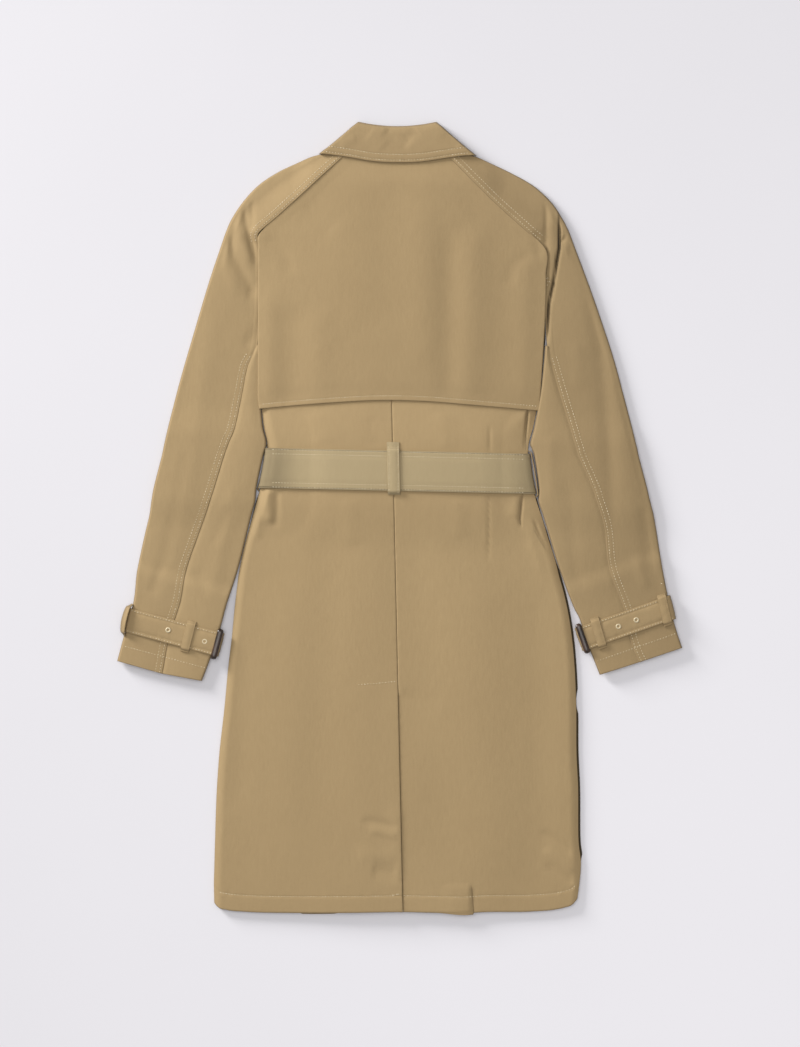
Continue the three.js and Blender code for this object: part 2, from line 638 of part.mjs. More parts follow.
// The belt's loops: one on the centre back and one at each side seam.
function beltLoops() {
  const half = BELT.width / 2;
  const reach = half + 8.5;
  const thick = 1.6;
  const middleX = centreBack(BELT.y);
  const stops = [-reach, -reach + 3, -half - 1.5, -half / 2, half / 2, half + 1.5, reach - 3, reach];
  const bridge = stops.map((v) => {
    const onBelt = Math.abs(v) < half + 2;
    return [v, backTop(middleX, beltMiddle(middleX) + v) + (onBelt ? 0.7 + BELT.cloth + GAP : 0.4)];
  });
  const outer = thicken(bridge, thick);
  const y = beltMiddle(middleX);
  const world = (line) => [-8.8, 8.8].map((w) => line.map(([v, z]) => [middleX + w, y + v, z]));
  wall("belt_loop_back", world(outer), world(bridge), gabardine);

  // The right loop stands off the belt's side; the left one lies close under it.
  const ends = half + 4;
  const alongs = [-ends, -half - 1, -half / 2, 0, half / 2, half + 1, ends];
  const sideLoop = (name, side, sign, off, heights) => {
    const at = (v, extra, z) => {
      const x = bodyEdge(side, beltMiddle(sign * 187) + v);
      const seat = ease((ends - Math.abs(v)) / 3);
      const out = mix(0.6, BELT.cloth + 1.3 + off * Math.cos((Math.PI / 2) * (v / ends)), seat) + extra;
      return [x + sign * out, beltMiddle(x) + v, z];
    };
    const face = (extra) => alongs.map((v) => heights.map((z) => at(v, extra, z)));
    wall(name, face(thick), face(0), gabardine);
  };
  sideLoop("belt_loop_right", "right", 1, 2.2, [2.5, 6, 10]);
  sideLoop("belt_loop_left", "left", -1, 0.2, [0.8, 2.6, 4.2]);
}

// ---- Collar: a fall folded down over its stand, flattened so that it goes round both sides ----
function collar() {
  // For each share of the way from the fold to the free edge: the sides, and the height of the
  // fall on the back.
  const FALL = [
    { share: 0, left: -57.5, right: 53.5, top: 9.5 },
    { share: 0.12, left: -66, right: 60.5, top: 12.4 },
    { share: 0.5, left: -85, right: 80.5, top: 14.2 },
    { share: 0.85, left: -104, right: 99, top: 14.6 },
    { share: 1, left: -111.8, right: 107.6, top: 14.6 },
  ];
  const STAND_FOOT = BACK_NECK_Y + 0.5;
  const foldY = (x) => 549.5 + 6 * (x / 57) ** 2;
  const edgeY = (x) => 498.5 + 13 * (Math.abs(x - 0.5) / 111) ** 2.2;
  const pointY = (x) => mix(455, 511, clamp(Math.abs(x) / 108));
  const opening = 6;

  // One round of the collar: from its left front edge under the coat, round the left side, over
  // the back and round the right side to its right front edge.
  const round = (left, right, top, bottom, radius, count) => {
    const middle = (top + bottom) / 2;
    const high = (top - bottom) / 2;
    const turn = (edge, sign, from, to) =>
      spread(6, from, to).slice(1, -1).map((deg) => {
        const angle = (deg * Math.PI) / 180;
        return [edge - sign * radius + sign * radius * Math.cos(angle), middle + high * Math.sin(angle)];
      });
    return [
      ...spread(4, -opening, left + radius).map((x) => [x, bottom]),
      ...turn(left, -1, -90, 90),
      ...spread(count, left + radius, right - radius).map((x) => [x, top]),
      ...turn(right, 1, 90, -90),
      ...spread(4, right - radius, opening).map((x) => [x, bottom]),
    ];
  };
  const laid = (line, yOf) => line.map(([x, z], i) => [x, yOf(x, z, i), z]);
  const over = [];
  const under = [];
  for (const { share, left, right, top } of FALL) {
    const line = round(left, right, top, 0.1, 6, 12);
    const inner = thicken(line, -CLOTH);
    const middle = top / 2;
    const yOf = (x, z) => {
      const fold = foldY(clamp(Math.abs(x) / 57) * 57);
      const backEdge = edgeY(x);
      const low = mix(pointY(x), backEdge, ease((z - middle) / 4 + 0.5));
      return mix(fold, low, share);
    };
    over.push(laid(line, yOf));
    under.push(inner.map(([x, z], i) => [x, yOf(line[i][0], line[i][1]), z]));
  }
  wall("collar_fall", over, under, gabardine);

  const STAND = [
    { y: 547, left: -53, right: 49, top: 7.4 },
    { y: STAND_FOOT, left: -66, right: 60, top: 11 },
  ];
  const standOver = [];
  const standUnder = [];
  for (const { y, left, right, top } of STAND) {
    const line = round(left, right, top, CLOTH + 2 * GAP, 3, 12);
    const dip = (x) => (y > 530 ? 3.5 * (x / 57) ** 2 : 0);
    standOver.push(laid(line, (x) => y + dip(x)));
    standUnder.push(thicken(line, -1.4).map(([x, z], i) => [x, y + dip(line[i][0]), z]));
  }
  wall("collar_stand", standOver, standUnder, gabardine);
}

// ---- Front buttons, on the outside of the right front, so that they lie on the surface ----
function buttons() {
  for (const [i, y] of BUTTONS.rows.entries()) {
    const { radius, thick } = BUTTONS;
    const profile = [
      [0, 0.8],
      [radius * 0.7, 0.8],
      [radius * 0.8, 0],
      [radius * 0.95, 0.2],
      [radius, 1.2],
      [radius * 0.85, thick],
      [0, thick],
    ].map(([r, z]) => new THREE.Vector2(r, z));
    const disc = new THREE.LatheGeometry(profile, 18);
    disc.rotateX(Math.PI / 2);
    disc.translate(0, y, 0);
    place(`front_button_${i + 1}`, disc, brownHorn);
  }
}

solids = await Module();
solids.setup();
fronts();
back();
yoke();
sleeves();
cuff("left");
cuff("right");
belt();
beltLoops();
collar();
buttons();

export default coat;
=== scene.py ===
"""A belted trench coat laid face down on a pale board, its back towards the camera.

Sizes are in millimetres and become metres where a mesh is made. +Z is up from the board, +Y runs towards the
collar and +X towards the wearer's right sleeve. Left and right are the wearer's. Every piece of cloth is a closed
wall between two grids of points, and the pieces follow in the order in which the coat lies: fronts first, then the
back, the storm flap, the sleeves with their cuffs, the collar and the belt.
"""
import math

import bpy
import numpy as np
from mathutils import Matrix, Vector
from mathutils.bvhtree import BVHTree


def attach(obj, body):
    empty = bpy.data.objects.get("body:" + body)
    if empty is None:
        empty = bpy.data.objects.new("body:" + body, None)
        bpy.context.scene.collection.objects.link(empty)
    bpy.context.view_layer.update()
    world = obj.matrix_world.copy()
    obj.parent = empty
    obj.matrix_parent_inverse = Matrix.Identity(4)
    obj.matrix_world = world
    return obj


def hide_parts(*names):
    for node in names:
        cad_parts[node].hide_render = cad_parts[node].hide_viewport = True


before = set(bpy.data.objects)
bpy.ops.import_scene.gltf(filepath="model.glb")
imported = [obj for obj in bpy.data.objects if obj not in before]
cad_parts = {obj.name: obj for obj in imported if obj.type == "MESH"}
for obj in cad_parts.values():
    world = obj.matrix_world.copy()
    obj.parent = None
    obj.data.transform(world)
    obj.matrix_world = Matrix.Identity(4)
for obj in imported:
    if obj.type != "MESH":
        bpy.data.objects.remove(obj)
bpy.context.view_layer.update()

MM = 0.001

# ---------------------------------------------------------------------------
# View, board and light
# ---------------------------------------------------------------------------
# The coat is looked at from straight above, on a plain board. A broad lamp low on the upper left draws out the
# folds and throws a soft shadow to the lower right, and a large soft box overhead fills them.
VIEW_CENTRE = (1.4 * MM, -7 * MM)
VIEW_HEIGHT = 1466 * MM
COAT_LEVEL = 9 * MM

camera_data = bpy.data.cameras.new("overhead_camera")
camera_data.lens = 100
camera_data.sensor_width = 36
camera = bpy.data.objects.new("overhead_camera", camera_data)
camera.location = (*VIEW_CENTRE, COAT_LEVEL + VIEW_HEIGHT * camera_data.lens / camera_data.sensor_width)
bpy.context.collection.objects.link(camera)
bpy.context.scene.camera = camera


def soft_lamp(name, place, size, power, colour):
    """A square area lamp at place, turned towards the coat."""
    lamp = bpy.data.lights.new(name, "AREA")
    lamp.shape = "SQUARE"
    lamp.size = size
    lamp.energy = power
    lamp.color = colour
    lamp_object = bpy.data.objects.new(name, lamp)
    lamp_object.location = place
    lamp_object.rotation_euler = (-Vector(place)).to_track_quat("-Z", "Y").to_euler()
    bpy.context.collection.objects.link(lamp_object)


soft_lamp("low_left_lamp", (-2.75, 2.15, 1.05), 1.1, 162, (1.0, 0.99, 0.97))
soft_lamp("overhead_box", (-0.5, 0.4, 4.6), 3.4, 94, (1.0, 0.99, 0.975))

surround = bpy.data.worlds.new("pale_surround")
surround.use_nodes = True
surround.node_tree.nodes["Background"].inputs["Color"].default_value = (0.985, 0.975, 0.965, 1)
surround.node_tree.nodes["Background"].inputs["Strength"].default_value = 0.345
bpy.context.scene.world = surround
bpy.context.scene.view_settings.view_transform = "Standard"


def new_material(name, **shader_values):
    """A material with values on its shader: itself, its nodes and links, its shader and a coordinates node."""
    material = bpy.data.materials.new(name)
    material.use_nodes = True
    nodes, links = material.node_tree.nodes, material.node_tree.links
    shader = nodes["Principled BSDF"]
    for socket, value in shader_values.items():
        shader.inputs[socket.replace("_", " ")].default_value = value
    return material, nodes, links, shader, nodes.new("ShaderNodeTexCoord")


def wire(links, *joined):
    """Links nodes, each given as the node and socket it leaves and the node and socket it enters."""
    for source, leaving, target, entering in joined:
        links.new(source.outputs[leaving], target.inputs[entering])


def board_paint():
    """Matt paint with a very faint mottle, a little deeper towards the lamp so that the board looks even."""
    material, nodes, links, shader, where = new_material("board_paint", Roughness=0.9, Specular_IOR_Level=0.1)
    across_board = nodes.new("ShaderNodeVectorMath")
    across_board.operation = "DOT_PRODUCT"
    across_board.inputs[1].default_value = (0.15, -0.132, 0)
    mottle = nodes.new("ShaderNodeTexNoise")
    mottle.inputs["Scale"].default_value = 3
    shade = nodes.new("ShaderNodeMath")
    shade.operation = "MULTIPLY_ADD"
    shade.inputs[1].default_value = 0.02
    tone = nodes.new("ShaderNodeMath")
    tone.inputs[1].default_value = 0.783
    colour = nodes.new("ShaderNodeVectorMath")
    colour.operation = "SCALE"
    colour.inputs[0].default_value = (1.0, 0.988, 1.045)
    wire(links, (where, "Object", across_board, 0), (where, "Object", mottle, "Vector"), (mottle, "Fac", shade, 0),
         (across_board, "Value", shade, 2), (shade, "Value", tone, 0), (tone, "Value", colour, "Scale"),
         (colour, "Vector", shader, "Base Color"))
    return material


bpy.ops.mesh.primitive_plane_add(size=14, location=(0, 0, -0.3 * MM))
board = bpy.context.active_object
board.name = "board"
board.data.materials.append(board_paint())

# ---------------------------------------------------------------------------
# Fronts
# ---------------------------------------------------------------------------
# Two panels of double cotton twill, lapped right over left and buttoned. They lie lowest, so they carry the shape
# of what is under them: the belt, its buckle and the buttons. Their hems show a little below the back.
CLOTH = 1.8
CLEAR = 0.3
LAP = 40
RISE = 7.4
HEM_Y = -553

BODY_EDGES = [
    # y, left edge, right edge
    (517, -68, 59), (507, -79, 69.4), (474, -115, 102), (440, -152.5, 137), (405, -191, 176), (381, -193, 202),
    (340, -193, 205), (290, -192.5, 203.5), (240, -192, 201), (200, -192.5, 198), (163, -193, 194.5),
    (128, -189.5, 188), (104, -184.5, 181.5), (66, -188.5, 183), (28, -198, 191.5), (-2, -206.5, 201.5),
    (-30, -214.5, 210), (-58, -221, 219), (-79, -225, 224), (-100, -227.5, 230), (-121, -230, 235),
    (-163, -234, 242), (-205, -239, 246), (-268, -245, 248.5), (-331, -252, 249), (-373, -255, 251),
    (-457, -258, 252), (-499, -259, 255), (-520, -259.5, 254), (HEM_Y, -259, 250),
]
HEM_LINE = [
    # x, y of the back's hem
    (-262, -533), (-258, -540), (-253, -545), (-241, -548.5), (-214, -551), (-143, -552.5), (-60, -552),
    (0, -551), (57, -552), (100, -552.5), (106, -552), (188, -550.5), (218, -548), (232, -545), (244, -540),
    (251, -531), (257, -518),
]
BELT_WIDTH = 56.5
BELT_Y = 66.5
BELT_SLOPE = -0.0219
BELT_CLOTH = 2.2
BELT_RISE = 2.6
BUCKLE_HEIGHT = 5.6
BUTTON_THICK = 3


def ease(t):
    """0 to 1 with a soft start and end."""
    t = np.clip(t, 0, 1)
    return t * t * (3 - 2 * t)


def plateau(distance, half, soft):
    """1 inside the half width, easing to 0 over the soft distance."""
    return 1 - ease((np.abs(distance) - half) / soft)


def smooth_through(known, values, at):
    """A curve through the known points, with no corners at them."""
    known, values = np.asarray(known, float), np.asarray(values, float)
    if known[0] > known[-1]:
        known, values = known[::-1], values[::-1]
    slope = np.gradient(values, known)
    at = np.clip(at, known[0], known[-1])
    i = np.clip(np.searchsorted(known, at) - 1, 0, len(known) - 2)
    gap = known[i + 1] - known[i]
    t = (at - known[i]) / gap
    rise, settle = 3 * t**2 - 2 * t**3, t**3 - t**2
    start = values[i] * (1 - rise) + slope[i] * gap * (t - 2 * t**2 + t**3)
    return start + values[i + 1] * rise + slope[i + 1] * gap * settle


def body_edge(side, y):
    """The x of the body's side edge at height y."""
    column = {"left": 1, "right": 2}[side]
    return smooth_through([row[0] for row in BODY_EDGES], [row[column] for row in BODY_EDGES], y)


def hem_y(x):
    return smooth_through([p[0] for p in HEM_LINE], [p[1] for p in HEM_LINE], x)


def belt_middle(x):
    return BELT_Y + BELT_SLOPE * x


def lift(x, y):
    """The underside of the lowest cloth: 0 on the board, more over the belt, the buttons and the collar points."""
    under_belt = BELT_RISE + (BUCKLE_HEIGHT + CLEAR - BELT_RISE) * plateau(x - 36, 86, 45)
    belt = under_belt * plateau(y - belt_middle(x), 40, 50)
    buttons = (BUTTON_THICK + CLEAR) * plateau(x, 13, 30) * plateau(y - 100, 370, 40)
    collar = (CLOTH + 2 * CLEAR) * ease((y - 415) / 35) * plateau(x, 118, 35)
    return np.maximum(np.maximum(belt, buttons), collar)


def distances(near, step, length):
    """Distances from an edge: those in near, then even steps to the whole length."""
    count = max(2, round((length - near[-1]) / step))
    return np.concatenate([near, np.linspace(near[-1], length, count + 1)[1:]])


def across(left, right, near_left, near_right, count):
    """For each row, points from its left to its right edge: set distances near the edges, even steps between."""
    starts = left[:, None] + np.asarray(near_left)[None, :]
    ends = right[:, None] - np.asarray(near_right)[None, ::-1]
    share = np.linspace(0, 1, count + 2)[None, 1:-1]
    middle = starts[:, -1:] * (1 - share) + ends[:, :1] * share
    return np.concatenate([starts, middle, ends], axis=1)


def grid(x, y, z):
    """Three arrays of one shape, or of shapes that stretch to one, as a grid of points."""
    return np.stack(np.broadcast_arrays(x, y, z), axis=-1)


cloth_pieces = {}
SHEET_LEAST = 0.0102

# painted shade and painted light: how much deeper (above 0) or paler (below 0) each panel is made than the rest,
# standing for the uneven fall of light across the coat
PANEL_PAINTED_SHADE = {
    "sleeve_right_upper": 0.25, "sleeve_right_under": 0.12, "collar_fall": 0.22, "back_yoke": 0.07,
    "back_right": -0.14, "back_left": -0.06, "sleeve_left_upper": 0.08,
}


def solid_piece(name, points, faces, material):
    """A closed smooth mesh with its faces outwards, on the coat's one body in place of the node of its name."""
    a, b, c, d = (points[faces[:, k]] for k in range(4))
    volume = np.einsum("ij,ij->", a, np.cross(b, c)) + np.einsum("ij,ij->", a, np.cross(c, d))
    if volume < 0:
        faces = faces[:, ::-1]
    mesh = bpy.data.meshes.new(name)
    mesh.from_pydata(points.tolist(), [], faces.tolist())
    mesh.polygons.foreach_set("use_smooth", [True] * len(mesh.polygons))
    mesh.materials.append(material)
    piece = bpy.data.objects.new(name, mesh)
    bpy.context.collection.objects.link(piece)
    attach(piece, "root")
    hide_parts(name)
    return piece


def cloth_wall(name, outer, inner, material, shaded=0.0):
    """A closed wall of cloth between two matching grids of points. Its painted shading is 1 on the flat, less on
    turned edges, less or more by its panel's painted shade or light, and less again by the amount shaded, down to -1
    where it is painted nearly black."""
    rows, columns = outer.shape[:2]
    points = np.concatenate([outer.reshape(-1, 3), inner.reshape(-1, 3)]) * MM
    index = np.arange(rows * columns).reshape(rows, columns)
    top = np.stack([index[:-1, :-1], index[1:, :-1], index[1:, 1:], index[:-1, 1:]], axis=-1).reshape(-1, 4)
    bottom = top[:, ::-1] + rows * columns
    rim = np.concatenate([index[:, 0], index[-1, 1:], index[-2::-1, -1], index[0, -2:0:-1]])
    after = np.roll(rim, -1)
    wall = np.stack([rim, rim + rows * columns, after + rows * columns, after], axis=-1)
    piece = solid_piece(name, points, np.concatenate([top, bottom, wall]), material)
    mesh = piece.data
    normals = np.empty(len(points) * 3)
    mesh.vertices.foreach_get("normal", normals)
    # painted shade: turned edges, whose faces lean away from up, are made darker, and each panel takes its painted
    # shade or light
    flat = np.clip((np.abs(normals[2::3]) - 0.45) / 0.45, 0, 1) - PANEL_PAINTED_SHADE.get(name, 0)
    flat[:rows * columns] -= np.broadcast_to(shaded, (rows, columns)).ravel()
    painted_shading = mesh.attributes.new("painted_shading", "FLOAT", "POINT")
    painted_shading.data.foreach_set("value", np.maximum(flat, -1))
    cloth_pieces[name] = piece
    flat_size, flat_area = cut_size(outer)


def cut_size(outer):
    """A piece's cut as laid flat, in metres: its greatest width and length along the cloth, and its area. No side is
    given as less than SHEET_LEAST. Only the left belt loop is: it is modelled edge-on and narrower than that, so its
    stated width is not a measure of the shape. Its area is."""
    wide = np.linalg.norm(np.diff(outer, axis=1), axis=-1).sum(axis=1).max()
    long = np.linalg.norm(np.diff(outer, axis=0), axis=-1).sum(axis=0).max()
    one = np.cross(outer[1:, :-1] - outer[:-1, :-1], outer[:-1, 1:] - outer[:-1, :-1])
    two = np.cross(outer[1:, :-1] - outer[1:, 1:], outer[:-1, 1:] - outer[1:, 1:])
    area = (np.linalg.norm(one, axis=-1).sum() + np.linalg.norm(two, axis=-1).sum()) / 2
    size = tuple(max(length * MM, SHEET_LEAST) for length in (wide, long))
    return size, min(area, wide * long) * MM**2


# the colour factor where the painted shading is 0, on turned edges: painted shade
PAINTED_EDGE_SHADE = 0.55


def cotton_twill(name, colour, deep, pitch=0.75):
    """Dense cotton twill: fine diagonal ribs, slubby yarns along the cloth and a soft unevenness of the dye."""
    material, nodes, links, shader, where = new_material(
        name, Roughness=0.82, Specular_IOR_Level=0.22, Sheen_Weight=0.12, Sheen_Roughness=0.5)

    def noise(scale, detail, stretch=(1, 1, 1), turn=0.0):
        mapping = nodes.new("ShaderNodeMapping")
        mapping.inputs["Scale"].default_value = stretch
        mapping.inputs["Rotation"].default_value = (0, 0, turn)
        texture = nodes.new("ShaderNodeTexNoise")
        texture.inputs["Scale"].default_value = scale
        texture.inputs["Detail"].default_value = detail
        wire(links, (where, "Object", mapping, "Vector"), (mapping, "Vector", texture, "Vector"))
        return texture.outputs["Fac"]

    turned = nodes.new("ShaderNodeMapping")
    turned.inputs["Rotation"].default_value = (0, 0, math.radians(58))
    ribs = nodes.new("ShaderNodeTexWave")
    ribs.inputs["Scale"].default_value = 0.314 / (pitch * MM)
    ribs.inputs["Distortion"].default_value = 0.6
    ribs.inputs["Detail"].default_value = 1
    wire(links, (where, "Object", turned, "Vector"), (turned, "Vector", ribs, "Vector"))

    def blend(factor, low, high, strength):
        """Mixes two colours by a texture that is squeezed towards its middle by the strength."""
        squeeze = nodes.new("ShaderNodeMapRange")
        squeeze.inputs["From Min"].default_value = 0.3
        squeeze.inputs["From Max"].default_value = 0.7
        squeeze.inputs["To Min"].default_value = 0.5 - strength / 2
        squeeze.inputs["To Max"].default_value = 0.5 + strength / 2
        mix = nodes.new("ShaderNodeMix")
        mix.data_type = "RGBA"
        links.new(factor, squeeze.inputs["Value"])
        links.new(squeeze.outputs["Result"], mix.inputs["Factor"])
        for socket, value in (("A", low), ("B", high)):
            target = [s for s in mix.inputs if s.name == socket and s.type == "RGBA"][0]
            if isinstance(value, tuple):
                target.default_value = (*value, 1)
            else:
                links.new(value, target)
        return [s for s in mix.outputs if s.type == "RGBA"][0]

    dye = blend(noise(7, 3), deep, colour, 0.55)
    yarns = blend(noise(420, 2, (1, 0.16, 1)), deep, colour, 0.8)
    weave = blend(ribs.outputs["Fac"], deep, colour, 0.9)
    flecks = blend(noise(900, 2), deep, colour, 0.9)
    first = blend(noise(2.3, 2), dye, yarns, 0.3)
    second = blend(noise(3.1, 2), weave, flecks, 0.3)
    final = nodes.new("ShaderNodeMix")
    final.data_type = "RGBA"
    final.inputs["Factor"].default_value = 0.42
    for colour_input, blended in zip([s for s in final.inputs if s.type == "RGBA"], (first, second)):
        links.new(blended, colour_input)
    # painted shade: the colour is scaled down by the painted shading attribute, most on turned edges, crease lines and
    # the dark strips of the fronts
    painted_shading = nodes.new("ShaderNodeAttribute")
    painted_shading.attribute_name = "painted_shading"
    shade_tone = nodes.new("ShaderNodeMapRange")
    shade_tone.clamp = False
    shade_tone.inputs["To Min"].default_value = PAINTED_EDGE_SHADE
    edged = nodes.new("ShaderNodeVectorMath")
    edged.operation = "SCALE"
    links.new([s for s in final.outputs if s.type == "RGBA"][0], edged.inputs[0])
    wire(links, (painted_shading, "Fac", shade_tone, "Value"), (shade_tone, "Result", edged, "Scale"),
         (edged, "Vector", shader, "Base Color"))

    rumple, relief = nodes.new("ShaderNodeBump"), nodes.new("ShaderNodeBump")
    for bump, strength, height in ((rumple, 0.5, 0.45), (relief, 0.35, 0.12)):
        bump.inputs["Strength"].default_value = strength
        bump.inputs["Distance"].default_value = height * MM
    links.new(noise(95, 3, (1.3, 0.7, 1)), rumple.inputs["Height"])
    wire(links, (ribs, "Fac", relief, "Height"), (rumple, "Normal", relief, "Normal"),
         (relief, "Normal", shader, "Normal"))
    return material


gabardine = cotton_twill("gabardine", (0.411, 0.296, 0.155), (0.355, 0.248, 0.125))

EDGE_NEAR = [0, 0.5, 1.2, 2.4, 4.5, 8]
FRONT_STEP = 7
SHOULDER_Y = BODY_EDGES[0][0]


def towards_hem(y):
    """0 on the body, rising to 1 at the hem, over the stretch where the rows bend to the hem line."""
    return np.clip((-450 - y) / (-450 - HEM_Y), 0, 1)


def bend_to_hem(x, y, shift=0.0):
    return y + towards_hem(y) * (hem_y(x) + shift - HEM_Y)


def front_peek(x):
    """How far the front hems hang past the back's: mostly short of it, with two places where they show."""
    return 2.5 - 4.6 * plateau(x + 112, 22, 16) - 4.4 * plateau(x - 80, 18, 14)


def front_panel(name, left, right, climbs):
    rows = SHOULDER_Y - distances(EDGE_NEAR, FRONT_STEP, SHOULDER_Y - HEM_Y)
    x = across(left(rows), right(rows), EDGE_NEAR, EDGE_NEAR, 38)
    y = bend_to_hem(x, rows[:, None], front_peek(x))
    z = lift(x, y) + CLOTH
    if climbs:
        z = z + (CLOTH + CLEAR) * ease((x + LAP + 22) / 20)
    outer = grid(x, y, z)
    # painted shade: the strip of the front that shows past the back's side edges is painted almost black, as the shade
    # beneath the fold
    beyond = ease((np.maximum(x - body_edge("right", y), body_edge("left", y) - x) + 0.6) / 0.8)
    cloth_wall(name, outer, grid(x, y, z - CLOTH), gabardine,
               shaded=1.9 * beyond * (y > -500))


MARGINS = {
    # y and how far the front's overcast side edge shows past the back, painted dark as painted shade of the fold
    "left": [(310, 0), (280, 1.4), (265, 3.0), (250, 3.6), (235, 2.2), (205, 1.6), (175, 0.5), (160, 0), (100, 0.3),
             (36, 0.3), (25, 1.4), (10, 1.2), (-5, 0.4), (-20, 0), (-553, 0)],
    "right": [(310, 0), (295, 0.5), (280, 1.5), (265, 2.9), (250, 3.6), (235, 2.7), (205, 2.3), (175, 1.5),
              (160, 1.2), (145, 0), (115, 0), (100, 0.3), (36, 0.3), (25, 1.5), (10, 0.6), (-5, 0.2), (-20, 1.2),
              (-35, 1.0), (-50, 0), (-62, 0.8), (-74, 2.9), (-240, 2.9), (-250, 0.4), (-264, 0.4), (-274, 2.9),
              (-482, 2.9), (-494, 0), (-553, 0)],
}


def margin_edge(side, y):
    """The front's side edge, past the body's edge by the side's margins."""
    ys, margins = np.array(MARGINS[side][::-1], float).T
    past = np.interp(y, ys, margins)
    return body_edge(side, y) + (past if side == "right" else -past)


front_panel("front_right", lambda y: np.full_like(y, -LAP), lambda y: margin_edge("right", y), climbs=False)
front_panel("front_left", lambda y: margin_edge("left", y), lambda y: np.full_like(y, LAP), climbs=True)

# ---------------------------------------------------------------------------
# Back
# ---------------------------------------------------------------------------
# Two panels of the same twill, sewn down the middle and left open below as a vent, where the left laps over the
# right. They roll round the sides to the side seams, and the belt gathers them into a few long soft folds.
FOLD_NEAR = [0, 0.5, 1.2, 2.2, 3.6, 5.2, 6.6] + [8 + 1.25 * step for step in range(21)]
SEAM_NEAR = [0, 0.4, 1, 1.8, 3, 5, 7.5]
HEM_NEAR = [0, 0.5, 1.2, 2.4, 4.5, 7.5, 11, 14.5, 17.5, 20, 21.5, 22.5, 23.5, 24.5, 26, 28.5]
BACK_STEP = 3.4
FOLD_REACH = 12
LEFT_WAIST_REACH = 16
RIGHT_WAIST_REACH = 48
VENT_TOP = -230
VENT_LAP = 53
HEM_STITCH = 23

BACK_CREASES = [
    # path, half width, height: ridges are above 0 and troughs below
    ([(181, 158), (178, 125), (176, 95)], 1.9, -3.6),
    ([(186, 150), (184, 100)], 5, 0.8),
    ([(173, 38), (170, 10), (169, -2), (171, -14)], 1.7, -2.6),
    ([(164, 34), (160, 0)], 6, 0.8),
    ([(189, -2), (198, -22), (210, -43)], 2.6, -1.6),
    ([(183, -4), (188, -40), (203, -80)], 7, 0.6),
    ([(127, 130), (127, 92)], 2.0, -0.9),
    ([(125, 36), (125.5, -20), (125, -62)], 2.0, -0.9),
    ([(-184, 44), (-185, 20), (-181, -8)], 8.5, 2.2),
    ([(-171, 42), (-171, 15), (-174, -14)], 5, -1.2),
    ([(-197, 10), (-200, -30)], 7, 0.8),
    ([(-52, -423), (-25, -426), (-2, -433)], 5, -1.1),
    ([(-44, -436), (-20, -440), (-2, -446)], 5, 0.9),
    ([(-38, -492), (-2, -496)], 13, -1.3),
    ([(-60, -470), (-4, -476)], 12, 0.7),
    ([(15, 30), (34, -180), (52, -380), (65, -545)], 34, -1.7),
    ([(112, -40), (128, -300), (138, -545)], 40, 1.6),
    ([(196, -60), (200, -300), (196, -545)], 24, -0.8),
    ([(-150, -60), (-158, -300), (-168, -545)], 38, 1.2),
    ([(-92, 25), (-104, -180), (-112, -420)], 30, -0.9),
    ([(-215, -150), (-226, -420)], 18, -0.7),
    ([(196, -438), (220, -450), (244, -471)], 6, -1.0),
    ([(203, -462), (225, -478), (247, -496)], 7, 1.1),
    ([(206, -484), (228, -500), (246, -512)], 6, -0.9),
    ([(-40, 142), (-30, 100)], 12, -0.5),
    ([(60, 150), (66, 96)], 14, 0.6),
    ([(-120, 150), (-112, 100)], 16, 0.7),
    ([(-70, 30), (-66, -40)], 14, 0.6),
    ([(80, 30), (84, -30)], 12, 0.6),
]


CREASE_SHADE_LINES = [
    # path of a crease pressed so sharp that its shade is painted as a dark line, how dark it is painted and its half
    # width
    ([(181, 158), (178.4, 125), (176.5, 92)], 1.3, 0.85),
    ([(173.5, 40), (170.5, 10), (169.5, -2), (171.5, -14)], 1.2, 0.85),
    ([(126, 38), (125.5, -20), (125, -56)], 0.35, 0.85),
    ([(188, -14), (198, -32), (207, -46)], 0.5, 0.85),
    ([(223.5, 430), (224, 378), (217, 335), (209.8, 303), (207.4, 262)], 1.6, 1.25),
]


def along_path(path, x, y):
    """For each point, its distance from the path and how far along it lies, from 0 to 1."""
    path = np.asarray(path, float)
    lengths = np.linalg.norm(np.diff(path, axis=0), axis=1)
    nearest = np.full(np.shape(x), np.inf)
    share = np.zeros(np.shape(x))
    for a, b, before, length in zip(path[:-1], path[1:], np.cumsum(lengths) - lengths, lengths):
        t = ((x - a[0]) * (b[0] - a[0]) + (y - a[1]) * (b[1] - a[1])) / length**2
        on = np.clip(t, 0, 1)
        away = np.hypot(x - a[0] - on * (b[0] - a[0]), y - a[1] - on * (b[1] - a[1]))
        share = np.where(away < nearest, (before + t * length) / lengths.sum(), share)
        nearest = np.minimum(away, nearest)
    return nearest, share


def creases(table, x, y):
    """The sum of the table's soft ridges and troughs, each fading out at both ends."""
    total = np.zeros(np.broadcast(x, y).shape)
    for path, half, height in table:
        away, share = along_path(path, x, y)
        total += height * np.exp(-((away / half) ** 2)) * ease(share / 0.22 + 0.15) * ease((1 - share) / 0.22 + 0.15)
    return total


def crease_painted_shade(x, y):
    """How dark the cloth is painted along its sharp creases: painted shade."""
    total = np.zeros(np.broadcast(x, y).shape)
    for path, dark, half in CREASE_SHADE_LINES:
        away, share = along_path(path, x, y)
        total += dark * np.exp(-((away / half) ** 2)) * ease(share / 0.1 + 0.3) * ease((1 - share) / 0.2 + 0.1)
    return total


def handling(x, y):
    """The slight unevenness that any handled cloth keeps."""
    slow = np.sin(x / 31 + 1.7 * np.sin(y / 88 + 0.4)) + np.sin(y / 57 + 1.3 * np.sin(x / 43 + 2.0))
    quick = np.sin(x / 11.3 + 1.9 * np.sin(y / 27)) * np.sin(y / 14.9 + 1.4 * np.sin(x / 21 + 1))
    return 0.16 * slow + 0.07 * quick


